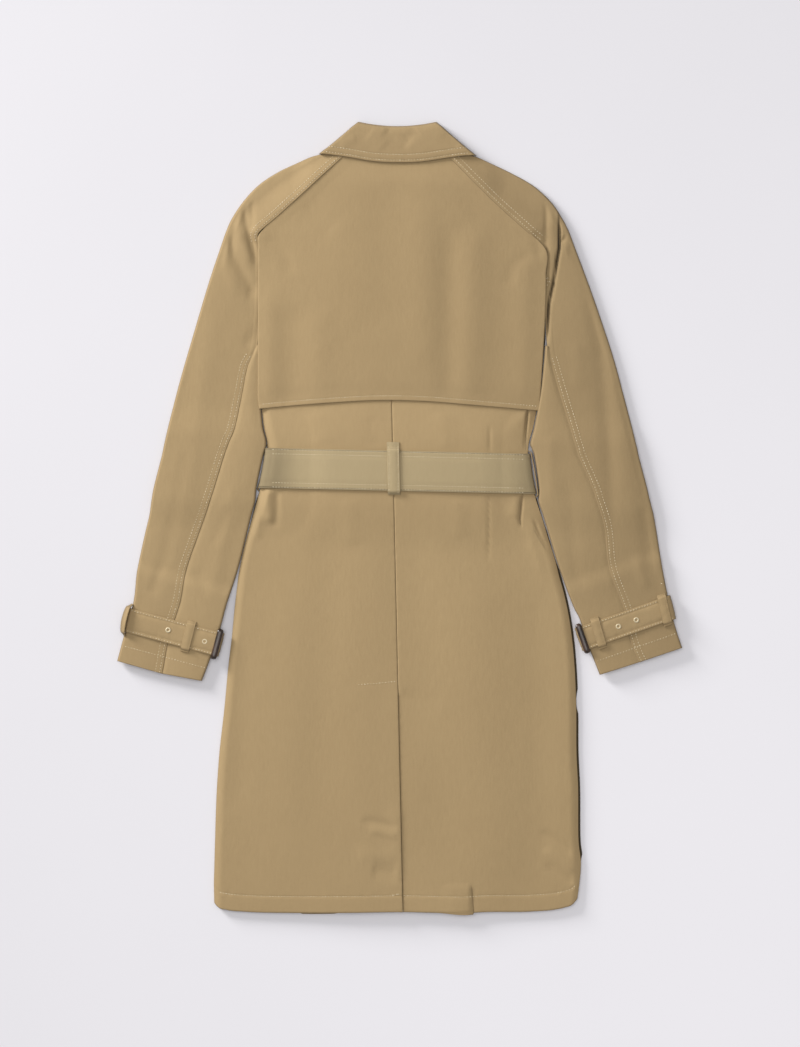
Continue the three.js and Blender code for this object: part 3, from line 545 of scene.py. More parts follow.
def pucker(away, along, strength=0.16):
    """Small unequal gathers beside a line of stitching."""
    wave = np.sin(along / 1.9 + 2.1 * np.sin(along / 17)) + 0.6 * np.sin(along / 3.3 + 1.1)
    return strength * wave * np.exp(-((away / 3.2) ** 2))


def stitch_groove(away, depth=0.35):
    """The narrow dent that a row of stitches pulls into the cloth."""
    return -depth * np.exp(-((away / 0.9) ** 2))


def rolled(edge_distance, drop=0.75, reach=1.4):
    """How much a turned edge rounds over, by the distance in from it."""
    return -drop * np.clip(1 - edge_distance / reach, 0, 1) ** 2


def centre_back(y):
    return -6.5 - 0.02205 * y


ARMPIT_Y = 240


def inset_from_sides(x, y):
    """How far a point is inside the nearer side edge."""
    return np.minimum(x - body_edge("left", y), body_edge("right", y) - x)


def back_form(x, y):
    """The top of the back without its creases: a low crown over the lapped fronts, high where the belt pulls it
    round the waist, and falling to the side seams below the arms."""
    at_waist = y - belt_middle(x)
    crown = 4.4 * plateau(x, 30, 165) * (1 - 0.6 * ease((y - 465) / 40))
    waist = 5.2 * plateau(at_waist, 40, 75) * plateau(x - 10, 100, 75)
    sides = 3 * plateau(at_waist, 40, 60)
    neck = 1.6 * ease((y - 400) / 50)
    full = RISE + np.maximum(crown, neck) + np.maximum(waist, sides) * (1 - 0.35 * plateau(x, 20, 160))
    waist_reach = np.where(x < 0, LEFT_WAIST_REACH, RIGHT_WAIST_REACH)
    reach = FOLD_REACH + (waist_reach - FOLD_REACH) * plateau(y - BELT_Y, 35, 60)
    inset = inset_from_sides(x, y)
    seam = 2 * CLOTH + CLEAR + 0.2 + BELT_RISE * plateau(at_waist, 40, 50)
    folded = ease((ARMPIT_Y + 10 - y) / 40)
    share = folded * (1 - np.sin(math.pi / 2 * np.clip(inset / reach, 0, 1)))
    return full * (1 - share) + seam * share


def back_top(x, y):
    """The top of the back panels as they lie."""
    free = ease((inset_from_sides(x, y) - 1) / 14)
    under_yoke = ease((y - 178) / 14)
    bare = 1 - plateau(y - belt_middle(x), 25, 7)
    loose = (creases(BACK_CREASES, x, y) + handling(x, y)) * free * bare * (1 - under_yoke)
    return back_form(x, y) + loose - 0.8 * under_yoke


def overlap_x(y):
    """The line of the small overlap in the hem of the right panel, a hand's width from the vent."""
    return 102 - (y + 518) * 0.076


def hem_drop(x):
    """How much lower the hem hangs just left of the overlap."""
    return -2.4 * ease((x - 48) / 46) * (x < overlap_x(HEM_Y) - 0.3)


def back_panel(side):
    left = (lambda y: body_edge("left", y)) if side == "left" else (lambda y: centre_back(y) + 0.15)
    right = (lambda y: body_edge("right", y)) if side == "right" else (lambda y: centre_back(y) - 0.15)
    rows = HEM_Y + distances(HEM_NEAR, BACK_STEP, SHOULDER_Y - HEM_Y)[::-1]
    near = (FOLD_NEAR, SEAM_NEAR) if side == "left" else (SEAM_NEAR, FOLD_NEAR)
    x = across(left(rows), right(rows), *near, 62)
    if side == "right":
        # three columns are drawn together on the small overlap in the hem
        nearest = int(np.abs(x[-20] - overlap_x(-520)).argmin())
        drawn = ease((-480 - rows) / 30)
        for step, offset in ((-1, -0.9), (0, 0.0), (1, 0.9)):
            x[:, nearest + step] += drawn * (overlap_x(rows) + offset - x[:, nearest + step])
    y = bend_to_hem(x, rows[:, None], hem_drop(x))
    z = back_top(x, y)
    # below its top the vent is open: the left panel stands a little proud of the right one
    vent = ease((VENT_TOP - rows[:, None]) / 26)
    if side == "right":
        z = z - 1.1 * vent * plateau(x - centre_back(y), 4, 60)
        edge = x - left(rows)[:, None]
        past = x - overlap_x(y)
        overlap = 0.7 * plateau(past + 14, 14, 16) * (past < 0.5) - 1.1 * np.exp(-((past / 0.8) ** 2))
        z = z + overlap * ease((-512 - y) / 5)
    else:
        edge = right(rows)[:, None] - x
        z = z + 0.5 * vent * plateau(edge, 3, 30)
        z = z + creases([([(-2, -395), (-1, -450), (0, -505)], 10, 0.8)], x, y) * vent
    z = z + rolled(edge, 0.6, 1.6) + pucker(edge, y)
    hem_distance = y - hem_y(x)
    z = z + rolled(hem_distance) + stitch_groove(hem_distance - HEM_STITCH) + pucker(hem_distance - HEM_STITCH, x)
    z = z + 0.2 * plateau(hem_distance - 11, 8, 4) * ease(inset_from_sides(x, y) / 8)
    outer = grid(x, y, z)
    # painted shade along the sharp creases
    shaded = crease_painted_shade(x, y)
    # painted shade: a dark line painted along the small overlap in the right panel's hem
    if side == "right":
        shaded = shaded + 0.9 * np.exp(-(((x - overlap_x(y)) / 0.8) ** 2)) * ease((-514 - y) / 5)
    inner = grid(x, y, z - CLOTH - rolled(edge, 0.6, 1.6))
    cloth_wall(f"back_{side}", outer, inner, gabardine, shaded=shaded)


back_panel("left")
back_panel("right")


def vent_underlap():
    """The facing of the vent, which goes on under the left panel from the right one's edge."""
    rows = VENT_TOP - distances(EDGE_NEAR, FRONT_STEP, VENT_TOP - HEM_Y - 3)
    middle = centre_back(rows)
    x = across(middle - VENT_LAP, middle - 0.6, EDGE_NEAR, EDGE_NEAR, 6)
    y = bend_to_hem(x, rows[:, None])
    z = back_form(x, y) - CLOTH - 1.9 + np.minimum(0, creases(BACK_CREASES, x, y))
    outer = grid(x, y, z)
    cloth_wall("vent_underlap", outer, grid(x, y, z - 1.2), gabardine)


vent_underlap()

# ---------------------------------------------------------------------------
# Storm flap
# ---------------------------------------------------------------------------
# A loose layer over the shoulders, caught in the collar seam and the raglan seams and free below, so its hem stands
# a little off the back. The hem is turned and stitched once, close to its edge.
YOKE_EDGES = [
    # y, left edge, right edge
    (517, -68.2, 59.2), (494, -92.6, 82.6), (467.5, -121.5, 108.6), (440, -152.1, 137), (408, -188, 173),
    (396, -197, 188), (381, -197.3, 203.2), (340, -197.4, 206), (290, -197.6, 205.2), (240, -197.8, 202.6),
    (200, -198, 199.8), (168, -197.6, 197.4), (155, -196, 196.2),
]
YOKE_HEM = [(-198, 153), (-150, 157.5), (-90, 162), (-29, 165), (40, 163.5), (96.5, 159), (150, 154.5), (197, 150.5)]
YOKE_STITCH = 6.5
YOKE_STEP = 3.4
YOKE_HEM_NEAR = [0, 0.4, 1, 1.8, 3, 4.6, 5.6, 6.5, 7.4, 8.6, 10.5]
YOKE_CREASES = [
    ([(106, 430), (103, 300), (97, 150)], 22, 1.5),
    ([(70, 420), (70, 300), (68, 150)], 18, -1.5),
    ([(-152, 300), (-152, 150)], 22, -1.5),
    ([(-182, 330), (-181, 150)], 13, 1.0),
    ([(-110, 300), (-112, 150)], 20, 0.8),
    ([(172, 390), (176, 150)], 18, 0.9),
    ([(-20, 470), (-26, 250)], 34, -0.8),
    ([(30, 470), (32, 200)], 22, 0.7),
    ([(190, 440), (196, 360)], 7, -0.9),
    ([(-186, 396), (-160, 372), (-150, 340)], 9, -0.7),
    ([(186, 376), (160, 352), (150, 322)], 9, -0.7),
    ([(-130, 440), (-90, 400)], 16, -0.5),
    ([(118, 430), (84, 396)], 16, -0.5),
]


def yoke_edge(side, y):
    column = {"left": 1, "right": 2}[side]
    return smooth_through([row[0] for row in YOKE_EDGES], [row[column] for row in YOKE_EDGES], y)


def yoke_hem_y(x):
    return smooth_through([p[0] for p in YOKE_HEM], [p[1] for p in YOKE_HEM], x)


def yoke_top(x, y):
    """The flap's top, which lies on the back and goes on level where it passes the back's sides."""
    inside = np.minimum(np.maximum(x, body_edge("left", y) + 25), body_edge("right", y) - 25)
    free = np.abs(x - inside) / 30
    settle = ease((517 - y) / 30)
    loose = (creases(YOKE_CREASES, x, y) + 1.1 * handling(x, y)) * settle
    return back_form(inside, y) + 2 * CLEAR + CLOTH + 0.9 + loose - 1.6 * free * ease((400 - y) / 60)


def back_yoke():
    foot = YOKE_EDGES[-1][0]
    rows = foot + distances(YOKE_HEM_NEAR, YOKE_STEP, SHOULDER_Y - foot)[::-1]
    left, right = yoke_edge("left", rows), yoke_edge("right", rows)
    x = across(left, right, SEAM_NEAR, SEAM_NEAR, 108)
    to_hem = np.clip((250 - rows[:, None]) / (250 - foot), 0, 1)
    y = rows[:, None] + to_hem * (yoke_hem_y(x) - foot)
    z = yoke_top(x, y)
    hem_distance = y - yoke_hem_y(x)
    z = z - 0.8 * plateau(hem_distance, 5, 26)
    z = z + stitch_groove(hem_distance - YOKE_STITCH, 0.2) + pucker(hem_distance - YOKE_STITCH, x, 0.12)
    side = np.minimum(x - left[:, None], right[:, None] - x)
    edges = np.minimum(hem_distance, side)
    z = z + rolled(edges) + pucker(side, y, 0.12)
    inner = z - CLOTH - rolled(edges)
    outer = grid(x, y, z)
    cloth_wall("back_yoke", outer, grid(x, y, inner), gabardine)


back_yoke()

# ---------------------------------------------------------------------------
# Sleeves
# ---------------------------------------------------------------------------
# Raglan sleeves in two pieces. The upper one runs from the collar over the shoulder and round the outer fold of
# the arm, and the under one round its inner fold. Both meet at a seam down the back of the arm, which is pressed
# towards the upper piece and stitched twice.
SLEEVE_RISE = 7
SLEEVE_SWELL = 1.1
RIGHT_SLEEVE_FULL = 3.4
STRAP_LIFT = 2.4
LEFT_SLEEVE = [
    # outer fold x, y; seam x, y; inner fold x, y
    (-97, 513, -68.6, 517, None, None), (-122, 507, -81, 505, None, None), (-140, 499.5, -93, 494.2, None, None),
    (-170, 485.5, -122, 467.7, None, None), (-197.5, 467, -148, 444.2, None, None),
    (-219, 444, -172, 422.5, None, None), (-235, 420, -196.4, 401.5, None, None),
    (-243, 402, -198.2, 390, None, None), (-249.5, 383, -194.5, 374, None, None),
    (-268, 327, -193.8, 318, None, None), (-291, 249, -199.4, 243, -193.6, 245),
    (-303, 208, -213, 214, -193.5, 216), (-312.5, 173, -221.5, 173, -193.6, 176),
    (-323, 131, -231, 128, -190.8, 132), (-328.5, 107, -239.5, 107, -185.6, 106),
    (-333, 86, -247, 86, -190.4, 86), (-343, 47, -259.5, 45, -199.2, 44), (-347, 26, -266, 25, -201.2, 25),
    (-350, 5, -272.5, 5, -206.5, 5), (-356.5, -22, -283, -24, -213.2, -22), (-367, -72, -299.5, -72, -225.4, -71),
    (-371, -109, -307, -114, -240.5, -118), (-377, -136, -316, -143, -249.5, -151),
    (-386, -166, -325, -174, -260, -184), (-392, -188, -330, -201, -268.5, -208),
    (-395, -199.5, -333, -217, -276, -227.5),
]
RIGHT_SLEEVE = [
    (90, 512.5, 59.6, 517, None, None), (110, 506, 71, 505.5, None, None), (126, 499, 83, 494.2, None, None),
    (158, 484, 109, 467.7, None, None), (190, 465.5, 137.5, 440.2, None, None),
    (214.5, 442.5, 166, 414.7, None, None), (229, 421, 186, 397, None, None), (238, 404, 203.8, 381.6, None, None),
    (246, 383, 208, 366, None, None), (271, 315, 206, 306, None, None), (294, 247, 209, 241, 203.4, 243),
    (305, 211, 216, 211, 201.3, 214), (315, 173, 227, 173, 197.2, 175), (326, 131, 240, 130, 189.4, 130),
    (331.7, 107, 246.5, 107, 183.6, 106),
    (334, 98, 249.5, 98, 185.4, 98), (336.5, 86, 253, 86, 189.2, 86), (347, 46, 271, 45, 195.4, 43),
    (352, 25, 278, 24, 195, 24), (357, 5, 285, 3, 201.6, 4),
    (361.5, -20, 290, -20, 208.8, -20), (369, -68, 295.5, -70, 223.8, -69), (377.5, -112, 313.5, -119, 243.5, -122),
    (381, -128, 319, -137, 253, -141), (387.5, -152, 323.5, -165, 263.5, -174),
    (392.5, -168, 330, -185, 271.5, -195), (397, -181, 337.5, -201, 281, -219),
]
SLEEVE_FOLD_NEAR = [90, 78, 64, 50, 35, 20, 5, -12, -30, -50, -70]
SLEEVE_CREASES = [
    ([(-218, 440), (-209, 397), (-198, 352)], 4.5, -2.0),
    ([(-228, 436), (-221, 395), (-206, 352)], 7, 1.4),
    ([(-235, 404), (-231, 370), (-213, 335), (-199, 305)], 5.5, -1.7),
    ([(-243, 392), (-240, 352), (-224, 318)], 7, 0.9),
    ([(-205, 445), (-205, 402)], 3.5, -1.1),
    ([(-196, 328), (-206, 318), (-214, 306)], 6, -0.9),
    ([(-195, 262), (-206, 254), (-216, 240)], 6, -0.8),
    ([(-258, 300), (-282, 130), (-318, -20)], 16, 0.8),
    ([(-290, 120), (-312, 10), (-336, -90)], 10, -0.7),
    ([(-228, 60), (-250, -40), (-262, -110)], 10, 0.7),
    ([(-236, 20), (-262, -40)], 6, -0.6),
    ([(-330, -60), (-345, -108)], 8, -0.8),
    ([(-283, -70), (-270, -110)], 7, -0.7),
    ([(205, 450), (205, 382), (207, 320)], 3, -1.2),
    ([(223, 436), (224.5, 405), (224, 378), (217, 335), (210, 303), (208, 262), (206, 238)], 1.8, -4.6),
    ([(214, 440), (214, 380), (213, 350)], 5, 0.8),
    ([(225, 386), (231, 391), (237, 399)], 3, -1.8),
    ([(230, 372), (240, 384)], 5, 1.0),
    ([(207, 340), (210, 332), (207, 325)], 3, -1.2),
    ([(262, 330), (281, 242), (292, 100), (300, -36)], 11, -1.4),
    ([(280, 330), (300, 230), (318, 80), (334, -30)], 14, 0.9),
    ([(246, 250), (252, 180)], 12, 0.7),
    ([(212, 120), (216, 20)], 8, 0.7),
    ([(238, 60), (246, -60), (258, -110)], 9, -0.8),
    ([(340, 20), (352, -80)], 9, -0.7),
    ([(330, -50), (345, -100)], 8, 0.8),
]
CUFFS = {
    # the strap's middle at the outer and the inner fold
    "left": {"outer": (-378.5, -142.6), "inner": (-257, -175.1), "lean": 0.04},
    "right": {"outer": (380.6, -124.8), "inner": (259.6, -167.2), "lean": 0.09},
}


def cuff_axes(side):
    """The strap's start, its direction across the cuff and the cuff's width."""
    start, end = np.array(CUFFS[side]["outer"], float), np.array(CUFFS[side]["inner"], float)
    width = np.linalg.norm(end - start)
    return start, (end - start) / width, width


def cuff_lift(x, y):
    """How far a cuff lies above the board, over the strap that passes beneath it."""
    most = np.zeros(np.broadcast(x, y).shape)
    for side in CUFFS:
        start, (ex, ey), width = cuff_axes(side)
        over = (x - start[0]) * ex + (y - start[1]) * ey
        along = -(x - start[0]) * ey + (y - start[1]) * ex
        near = (over > -60) & (over < width + 60)
        most = np.maximum(most, np.where(near, STRAP_LIFT * plateau(along, 65, 20), 0))
    return most


def sleeve_rows(table, columns, count, start=0):
    """Points down one line of a sleeve, evenly spaced by its rows and free of corners."""
    rows = np.arange(len(table))[start:]
    at = np.linspace(rows[0], rows[-1], count)
    near_end = rows[-1] - np.array([0.28, 0.2, 0.12, 0.07, 0.03, 0.012])
    at = np.unique(np.concatenate([at, near_end]))
    return np.stack([smooth_through(rows, [table[r][c] for r in rows], at) for c in columns], axis=-1)


def sleeve_seam_rise(points):
    """The sleeve's height at its seam: level with the flap along the raglan seam, low beside the body."""
    x, y = points[:, 0], points[:, 1]
    raglan = ease((y - 383) / 20)
    return (yoke_top(x, y) + 0.65 - lift(x, y)) * raglan + (SLEEVE_RISE - 0.1) * (1 - raglan)


def sleeve_piece(side, half, table, start, count, columns):
    """One piece of a sleeve, from its seam over a fold and back beneath."""
    seam = sleeve_rows(table, (2, 3), count, start)
    fold = sleeve_rows(table, (0, 1) if half == "upper" else (4, 5), count, start)
    rise = sleeve_seam_rise(seam)
    span = np.linalg.norm(fold - seam, axis=1)
    direction = (fold - seam) / span[:, None]
    radius = np.minimum(SLEEVE_RISE / 2, 0.6 * span)[:, None]
    flat = np.maximum(span - 0.2 - radius[:, 0], 0.5)
    near = np.array([0, 0.5, 1.2, 2.2, 3, 3.8, 5, 7.2, 8.2, 9, 9.8, 11, 14])
    if half == "under":
        near = np.array([0, 0.4, 1, 1.8, 3, 5, 8])
    reach = np.minimum(1, flat * 0.55 / near[-1])
    starts = near[None, :] * reach[:, None]
    share = np.linspace(0, 1, columns)[None, 1:]
    top_p = np.concatenate([starts, starts[:, -1:] * (1 - share) + flat[:, None] * share], axis=1)
    slope = ease(top_p / (flat[:, None] * 0.75))
    swell = SLEEVE_SWELL * np.sin(math.pi * np.clip(top_p / (flat[:, None] + radius), 0, 1)) ** 0.8
    top_z = rise[:, None] * (1 - slope) + SLEEVE_RISE * slope + swell
    start_shift = (-1.5 if half == "upper" else -1.0) * np.ones_like(span)
    edge_x = seam[:, 0, None] + direction[:, 0, None] * (top_p + start_shift[:, None])
    edge_y = seam[:, 1, None] + direction[:, 1, None] * (top_p + start_shift[:, None])
    calm = ease((flat[:, None] - top_p) / 10)
    end_distance = np.linalg.norm(seam - seam[-1], axis=1)[:, None]
    top_z = top_z + (creases(SLEEVE_CREASES, edge_x, edge_y) + 1.2 * handling(edge_x, edge_y)) * calm
    lengthwise = np.concatenate([[0], np.cumsum(np.linalg.norm(np.diff(seam, axis=0), axis=1))])[:, None]
    if half == "upper":
        top_z = top_z + 0.15 * plateau(top_p - 4.5, 4.4, 2.2) + pucker(top_p - 3, lengthwise, 0.09)
        top_z = top_z + stitch_groove(top_p - 3, 0.2) + stitch_groove(top_p - 9, 0.2) + rolled(top_p, 0.5, 1)
    else:
        top_z = top_z - 0.6 * plateau(top_p, 2.6, 4)
    if side == "right":
        beside_seam = 1 - top_p / flat[:, None] if half == "upper" else 1 + 0.15 * top_p / flat[:, None]
        above_cuff = ease((end_distance - 75) / 90) * ease((330 - seam[:, 1:]) / 90)
        top_z = top_z + RIGHT_SLEEVE_FULL * beside_seam * above_cuff
    turn = np.radians(SLEEVE_FOLD_NEAR)[None, 1:]
    last = top_z[:, -1:]
    turn_p = flat[:, None] + radius * np.cos(turn)
    turn_z = last / 2 + last / 2 * np.sin(turn)
    bottom_p = flat[:, None] * (1 - np.linspace(0, 1, 10)[None, 1:])
    bottom_z = np.zeros_like(bottom_p)
    p = np.concatenate([top_p, turn_p, bottom_p], axis=1)
    z = np.concatenate([top_z, turn_z, bottom_z], axis=1)
    cuff_end = rolled(end_distance, 0.6, 1.2) if table[-1][1] < 0 else 0
    start_shift = start_shift[:, None] * np.exp(-p / 30) + 0.2 * (1 - np.exp(-p / 30))
    x = seam[:, 0, None] + direction[:, 0, None] * (p + start_shift)
    y = seam[:, 1, None] + direction[:, 1, None] * (p + start_shift)
    ground = np.maximum(lift(x, y), cuff_lift(x, y))
    # the wall's inner side lies a cloth's thickness in from the outer one
    ahead_p, ahead_z = np.gradient(p, axis=1), np.gradient(z, axis=1)
    size = np.hypot(ahead_p, ahead_z) + 1e-9
    thick = CLOTH - (1.45 if half == "upper" else 0.4) * plateau(np.arange(p.shape[1])[None, :], 3.5, 3)
    inner_p, inner_z = p + ahead_z / size * thick, z - ahead_p / size * thick
    inner_x = seam[:, 0, None] + direction[:, 0, None] * (inner_p + start_shift)
    inner_y = seam[:, 1, None] + direction[:, 1, None] * (inner_p + start_shift)
    outer = grid(x, y, z + ground + np.where(z > SLEEVE_RISE / 2, cuff_end, 0))
    # painted shade along the sleeve's sharp creases, on its top only
    shaded = crease_painted_shade(outer[..., 0], outer[..., 1]) * (outer[..., 2] > CLOTH + 1)
    inner = grid(inner_x, inner_y, inner_z + ground)
    cloth_wall(f"sleeve_{side}_{half}", outer, inner, gabardine, shaded=shaded)


def sleeve(side, table):
    first_inner = [i for i, row in enumerate(table) if row[4] is not None][0]
    sleeve_piece(side, "upper", table, 0, 235, 56)
    sleeve_piece(side, "under", table, first_inner, 150, 14)


sleeve("left", LEFT_SLEEVE)
sleeve("right", RIGHT_SLEEVE)

# ---------------------------------------------------------------------------
# Cuff straps, loops, eyelets and buckles
# ---------------------------------------------------------------------------
# Each cuff is drawn in by a strap of the coat's cloth, stitched along both edges. It starts under the cuff, passes
# through two sewn loops and a heel-bar buckle at the inner fold, and has two metal eyelets.
STRAP_HALF = 17
STRAP_CLOTH = 1.6
STRAP_LEVEL = STRAP_LIFT + SLEEVE_RISE + SLEEVE_SWELL + 0.5
STRAP_STITCH = 5
LOOP_CLOTH = 1.4
LOOP_WIDTH = 12.5
LOOP_REACH = STRAP_HALF + 5.5
BUCKLE_REACH = 2.6


def cuff_place(side):
    """Turns distances across the cuff, towards the hand and up into the coat's own axes."""
    start, (ex, ey), width = cuff_axes(side)
    hand, lean = (1 if side == "left" else -1), CUFFS[side]["lean"]

    def place(p, q, z):
        leaning = p + lean * q * (1 - np.clip(p / width, 0, 1))
        return grid(start[0] + ex * leaning + hand * ey * q, start[1] + ey * leaning - hand * ex * q, z)

    return place


def arc(centre, radius, start, end, count):
    """Points round part of an ellipse, in degrees."""
    angle = np.radians(np.linspace(start, end, count))
    return np.stack([centre[0] + radius[0] * np.cos(angle), centre[1] + radius[1] * np.sin(angle)], axis=-1)


def strip(name, line_at, stations, place, thickness, outside, material, relief):
    """A strip of cloth along a line of (distance, height), given for each station across its width."""
    outer, inner = [], []
    for station in stations:
        line = line_at(station)
        ahead = np.gradient(line, axis=0)
        ahead /= np.linalg.norm(ahead, axis=1)[:, None]
        normal = outside * np.stack([-ahead[:, 1], ahead[:, 0]], axis=-1)
        outer.append(line + normal * (thickness + relief(station, line))[:, None])
        inner.append(line)
    outer, inner = np.array(outer), np.array(inner)
    width = np.asarray(stations)[:, None]
    outer_grid, inner_grid = (place(line[..., 0], width, line[..., 1]) for line in (outer, inner))
    cloth_wall(name, outer_grid, inner_grid, material)


def strip_stations(half, stitch, spacing=2.6):
    """Stations across a strip: close at its edges and at its rows of stitches."""
    near = np.array([0, 0.35, 0.9, 1.8, stitch - 1, stitch, stitch + 1, stitch + 2.4])
    middle = np.linspace(-half + near[-1], half - near[-1], max(3, round(2 * (half - near[-1]) / spacing)))
    return np.concatenate([-half + near, middle[1:-1], half - near[::-1]])


def strip_relief(half, stitches, puff=0.35):
    """Rolled edges, dents along the rows of stitches and a little fullness between them."""

    def relief(station, line):
        edge = half - abs(station)
        height = rolled(edge, 0.55, 1.2) + puff * ease((edge - stitches[-1]) / 4)
        for stitch in stitches:
            height = height + stitch_groove(edge - stitch, 0.3)
        along = np.concatenate([[0], np.cumsum(np.linalg.norm(np.diff(line, axis=0), axis=1))])
        return height + pucker(edge - stitches[0], along + 40 * np.sign(station), 0.1)

    return relief


def cuff_strap(side):
    place = cuff_place(side)
    width = cuff_axes(side)[2]
    floor = STRAP_CLOTH + 0.4
    middle, high = (STRAP_LEVEL + floor) / 2, (STRAP_LEVEL - floor) / 2

    def line_at(q):
        under = np.stack([np.linspace(width - 16, 8, 30), np.full(30, floor)], axis=-1)
        turn = arc((2.6, middle), (high + 0.2, high), 270, 90, 16)[1:-1]
        top_p = np.linspace(8, width - 4, 70)
        over = np.stack([top_p, STRAP_LEVEL + 0.35 * np.sin(top_p / 13) * plateau(q, 4, 14)], axis=-1)
        bulge = arc((width - 3, middle), (10, high), 78, -80, 16)
        tail = np.array([[width - 7, floor]])
        return np.concatenate([under, turn, over, bulge, tail])

    stations = strip_stations(STRAP_HALF, STRAP_STITCH)
    strip(f"cuff_strap_{side}", line_at, stations, place, STRAP_CLOTH, 1, gabardine,
          strip_relief(STRAP_HALF, [STRAP_STITCH]))


def cuff_loop(side, label, middle_p, tilt=0.0):
    """A sewn loop: a narrow strip that bridges the strap, down to the sleeve at both ends."""
    place = cuff_place(side)
    half = LOOP_WIDTH / 2

    def line_at(w):
        q = np.linspace(-LOOP_REACH, LOOP_REACH, 46)
        over = STRAP_CLOTH + 0.9
        z = STRAP_LEVEL - 0.2 + over * plateau(q, STRAP_HALF + 0.4, 2.6)
        z = z + 0.4 * np.cos(q / LOOP_REACH * math.pi / 2)
        return np.stack([q, z], axis=-1)

    def turned(q, w, z):
        return place(middle_p + w + tilt * q, q, z)

    near = np.array([0, 0.35, 0.9, 1.6, 2.6])
    stations = np.concatenate([-half + near, [0], half - near[::-1]])
    strip(f"cuff_loop_{side}_{label}", line_at, stations, turned, LOOP_CLOTH, 1, gabardine,
          strip_relief(half, [1.6], 0.2))


def standing_loop():
    """The left cuff's outer loop, which stands off round the fold and is seen on its edge."""
    place = cuff_place("left")
    floor = STRAP_CLOTH + 0.4
    middle, high = (STRAP_LEVEL + floor) / 2, (STRAP_LEVEL - floor) / 2
    half = LOOP_WIDTH / 2
    reach = LOOP_REACH + 1

    def point(q, w, off):
        # w runs round the sleeve's fold, from its side up towards its top
        seated = ease((reach - abs(q)) / 6)
        angle = math.radians(190 - 6.2 * (w + half)) * np.ones_like(off)
        clearance = -1.2 + (STRAP_CLOTH + 2.1 + 4.6 * np.cos(q / reach * math.pi / 2) ** 0.7) * seated
        radius = clearance + off
        return place(2.6 + (high + radius) * np.cos(angle), q, middle + 1.2 * seated + (high + radius) * np.sin(angle))

    near = np.array([0, 0.6, 1.6, 3])
    stations = np.concatenate([-reach + near, np.linspace(-reach + 4.5, reach - 4.5, 30), reach - near[::-1]])
    across_loop = np.linspace(-half, half, 14)
    outer = np.array([[point(q, w, np.array(LOOP_CLOTH + rolled(half - abs(w), 0.5, 1.2))) for w in across_loop]
                      for q in stations])
    inner = np.array([[point(q, w, np.array(0.0)) for w in across_loop] for q in stations])
    outer, inner = (points.reshape(len(stations), -1, 3) for points in (outer, inner))
    cloth_wall("cuff_loop_left_outer", outer, inner, gabardine)


def flecked(name, scale, dark, light, stretch=(1, 1, 1), detail=2, **shader_values):
    """A material whose colour goes between two tones by a noise, each tone given with its place in the noise."""
    material, nodes, links, shader, where = new_material(name, **shader_values)
    mapping = nodes.new("ShaderNodeMapping")
    mapping.inputs["Scale"].default_value = stretch
    flecks = nodes.new("ShaderNodeTexNoise")
    flecks.inputs["Scale"].default_value = scale
    flecks.inputs["Detail"].default_value = detail
    ramp = nodes.new("ShaderNodeValToRGB")
    for element, (colour, position) in zip(ramp.color_ramp.elements, (dark, light)):
        element.color = (*colour, 1)
        element.position = position
    wire(links, (where, "Object", mapping, "Vector"), (mapping, "Vector", flecks, "Vector"),
         (flecks, "Fac", ramp, "Fac"), (ramp, "Color", shader, "Base Color"))
    return material


# cream enamel over stamped metal, and polished dark horn with long paler streaks
cream_enamel = flecked("cream_enamel", 900, ((0.46, 0.37, 0.22), 0.3), ((0.66, 0.56, 0.38), 0.6),
                       Roughness=0.42, Metallic=0.15)
brown_horn = flecked("brown_horn", 210, ((0.012, 0.007, 0.005), 0.35), ((0.075, 0.040, 0.026), 0.75),
                     stretch=(1, 0.25, 1), detail=4, Roughness=0.3, Coat_Weight=0.3)


def closed_sweep(name, rings, material):
    """A ring-shaped solid through closed rings of points."""
    rings = np.asarray(rings)
    count, around = rings.shape[:2]
    index = np.arange(count * around).reshape(count, around)
    after = np.roll(index, -1, axis=0)
    faces = np.stack([index, np.roll(index, -1, axis=1), np.roll(after, -1, axis=1), after], axis=-1).reshape(-1, 4)
    solid_piece(name, rings.reshape(-1, 3) * MM, faces, material)


def eyelet(side, number, place_xy):
    """A rolled ring set through the strap, with a dark hole."""
    base = STRAP_LEVEL + STRAP_CLOTH - 0.15
    profile = arc((2.75, base + 0.25), (1.2, 0.75), 0, 330, 12)
    rings = []
    for angle in np.linspace(0, 2 * math.pi, 28, endpoint=False):
        rings.append([(place_xy[0] + r * math.cos(angle), place_xy[1] + r * math.sin(angle), z) for r, z in profile])
    closed_sweep(f"eyelet_{side}_{number}", rings, cream_enamel)


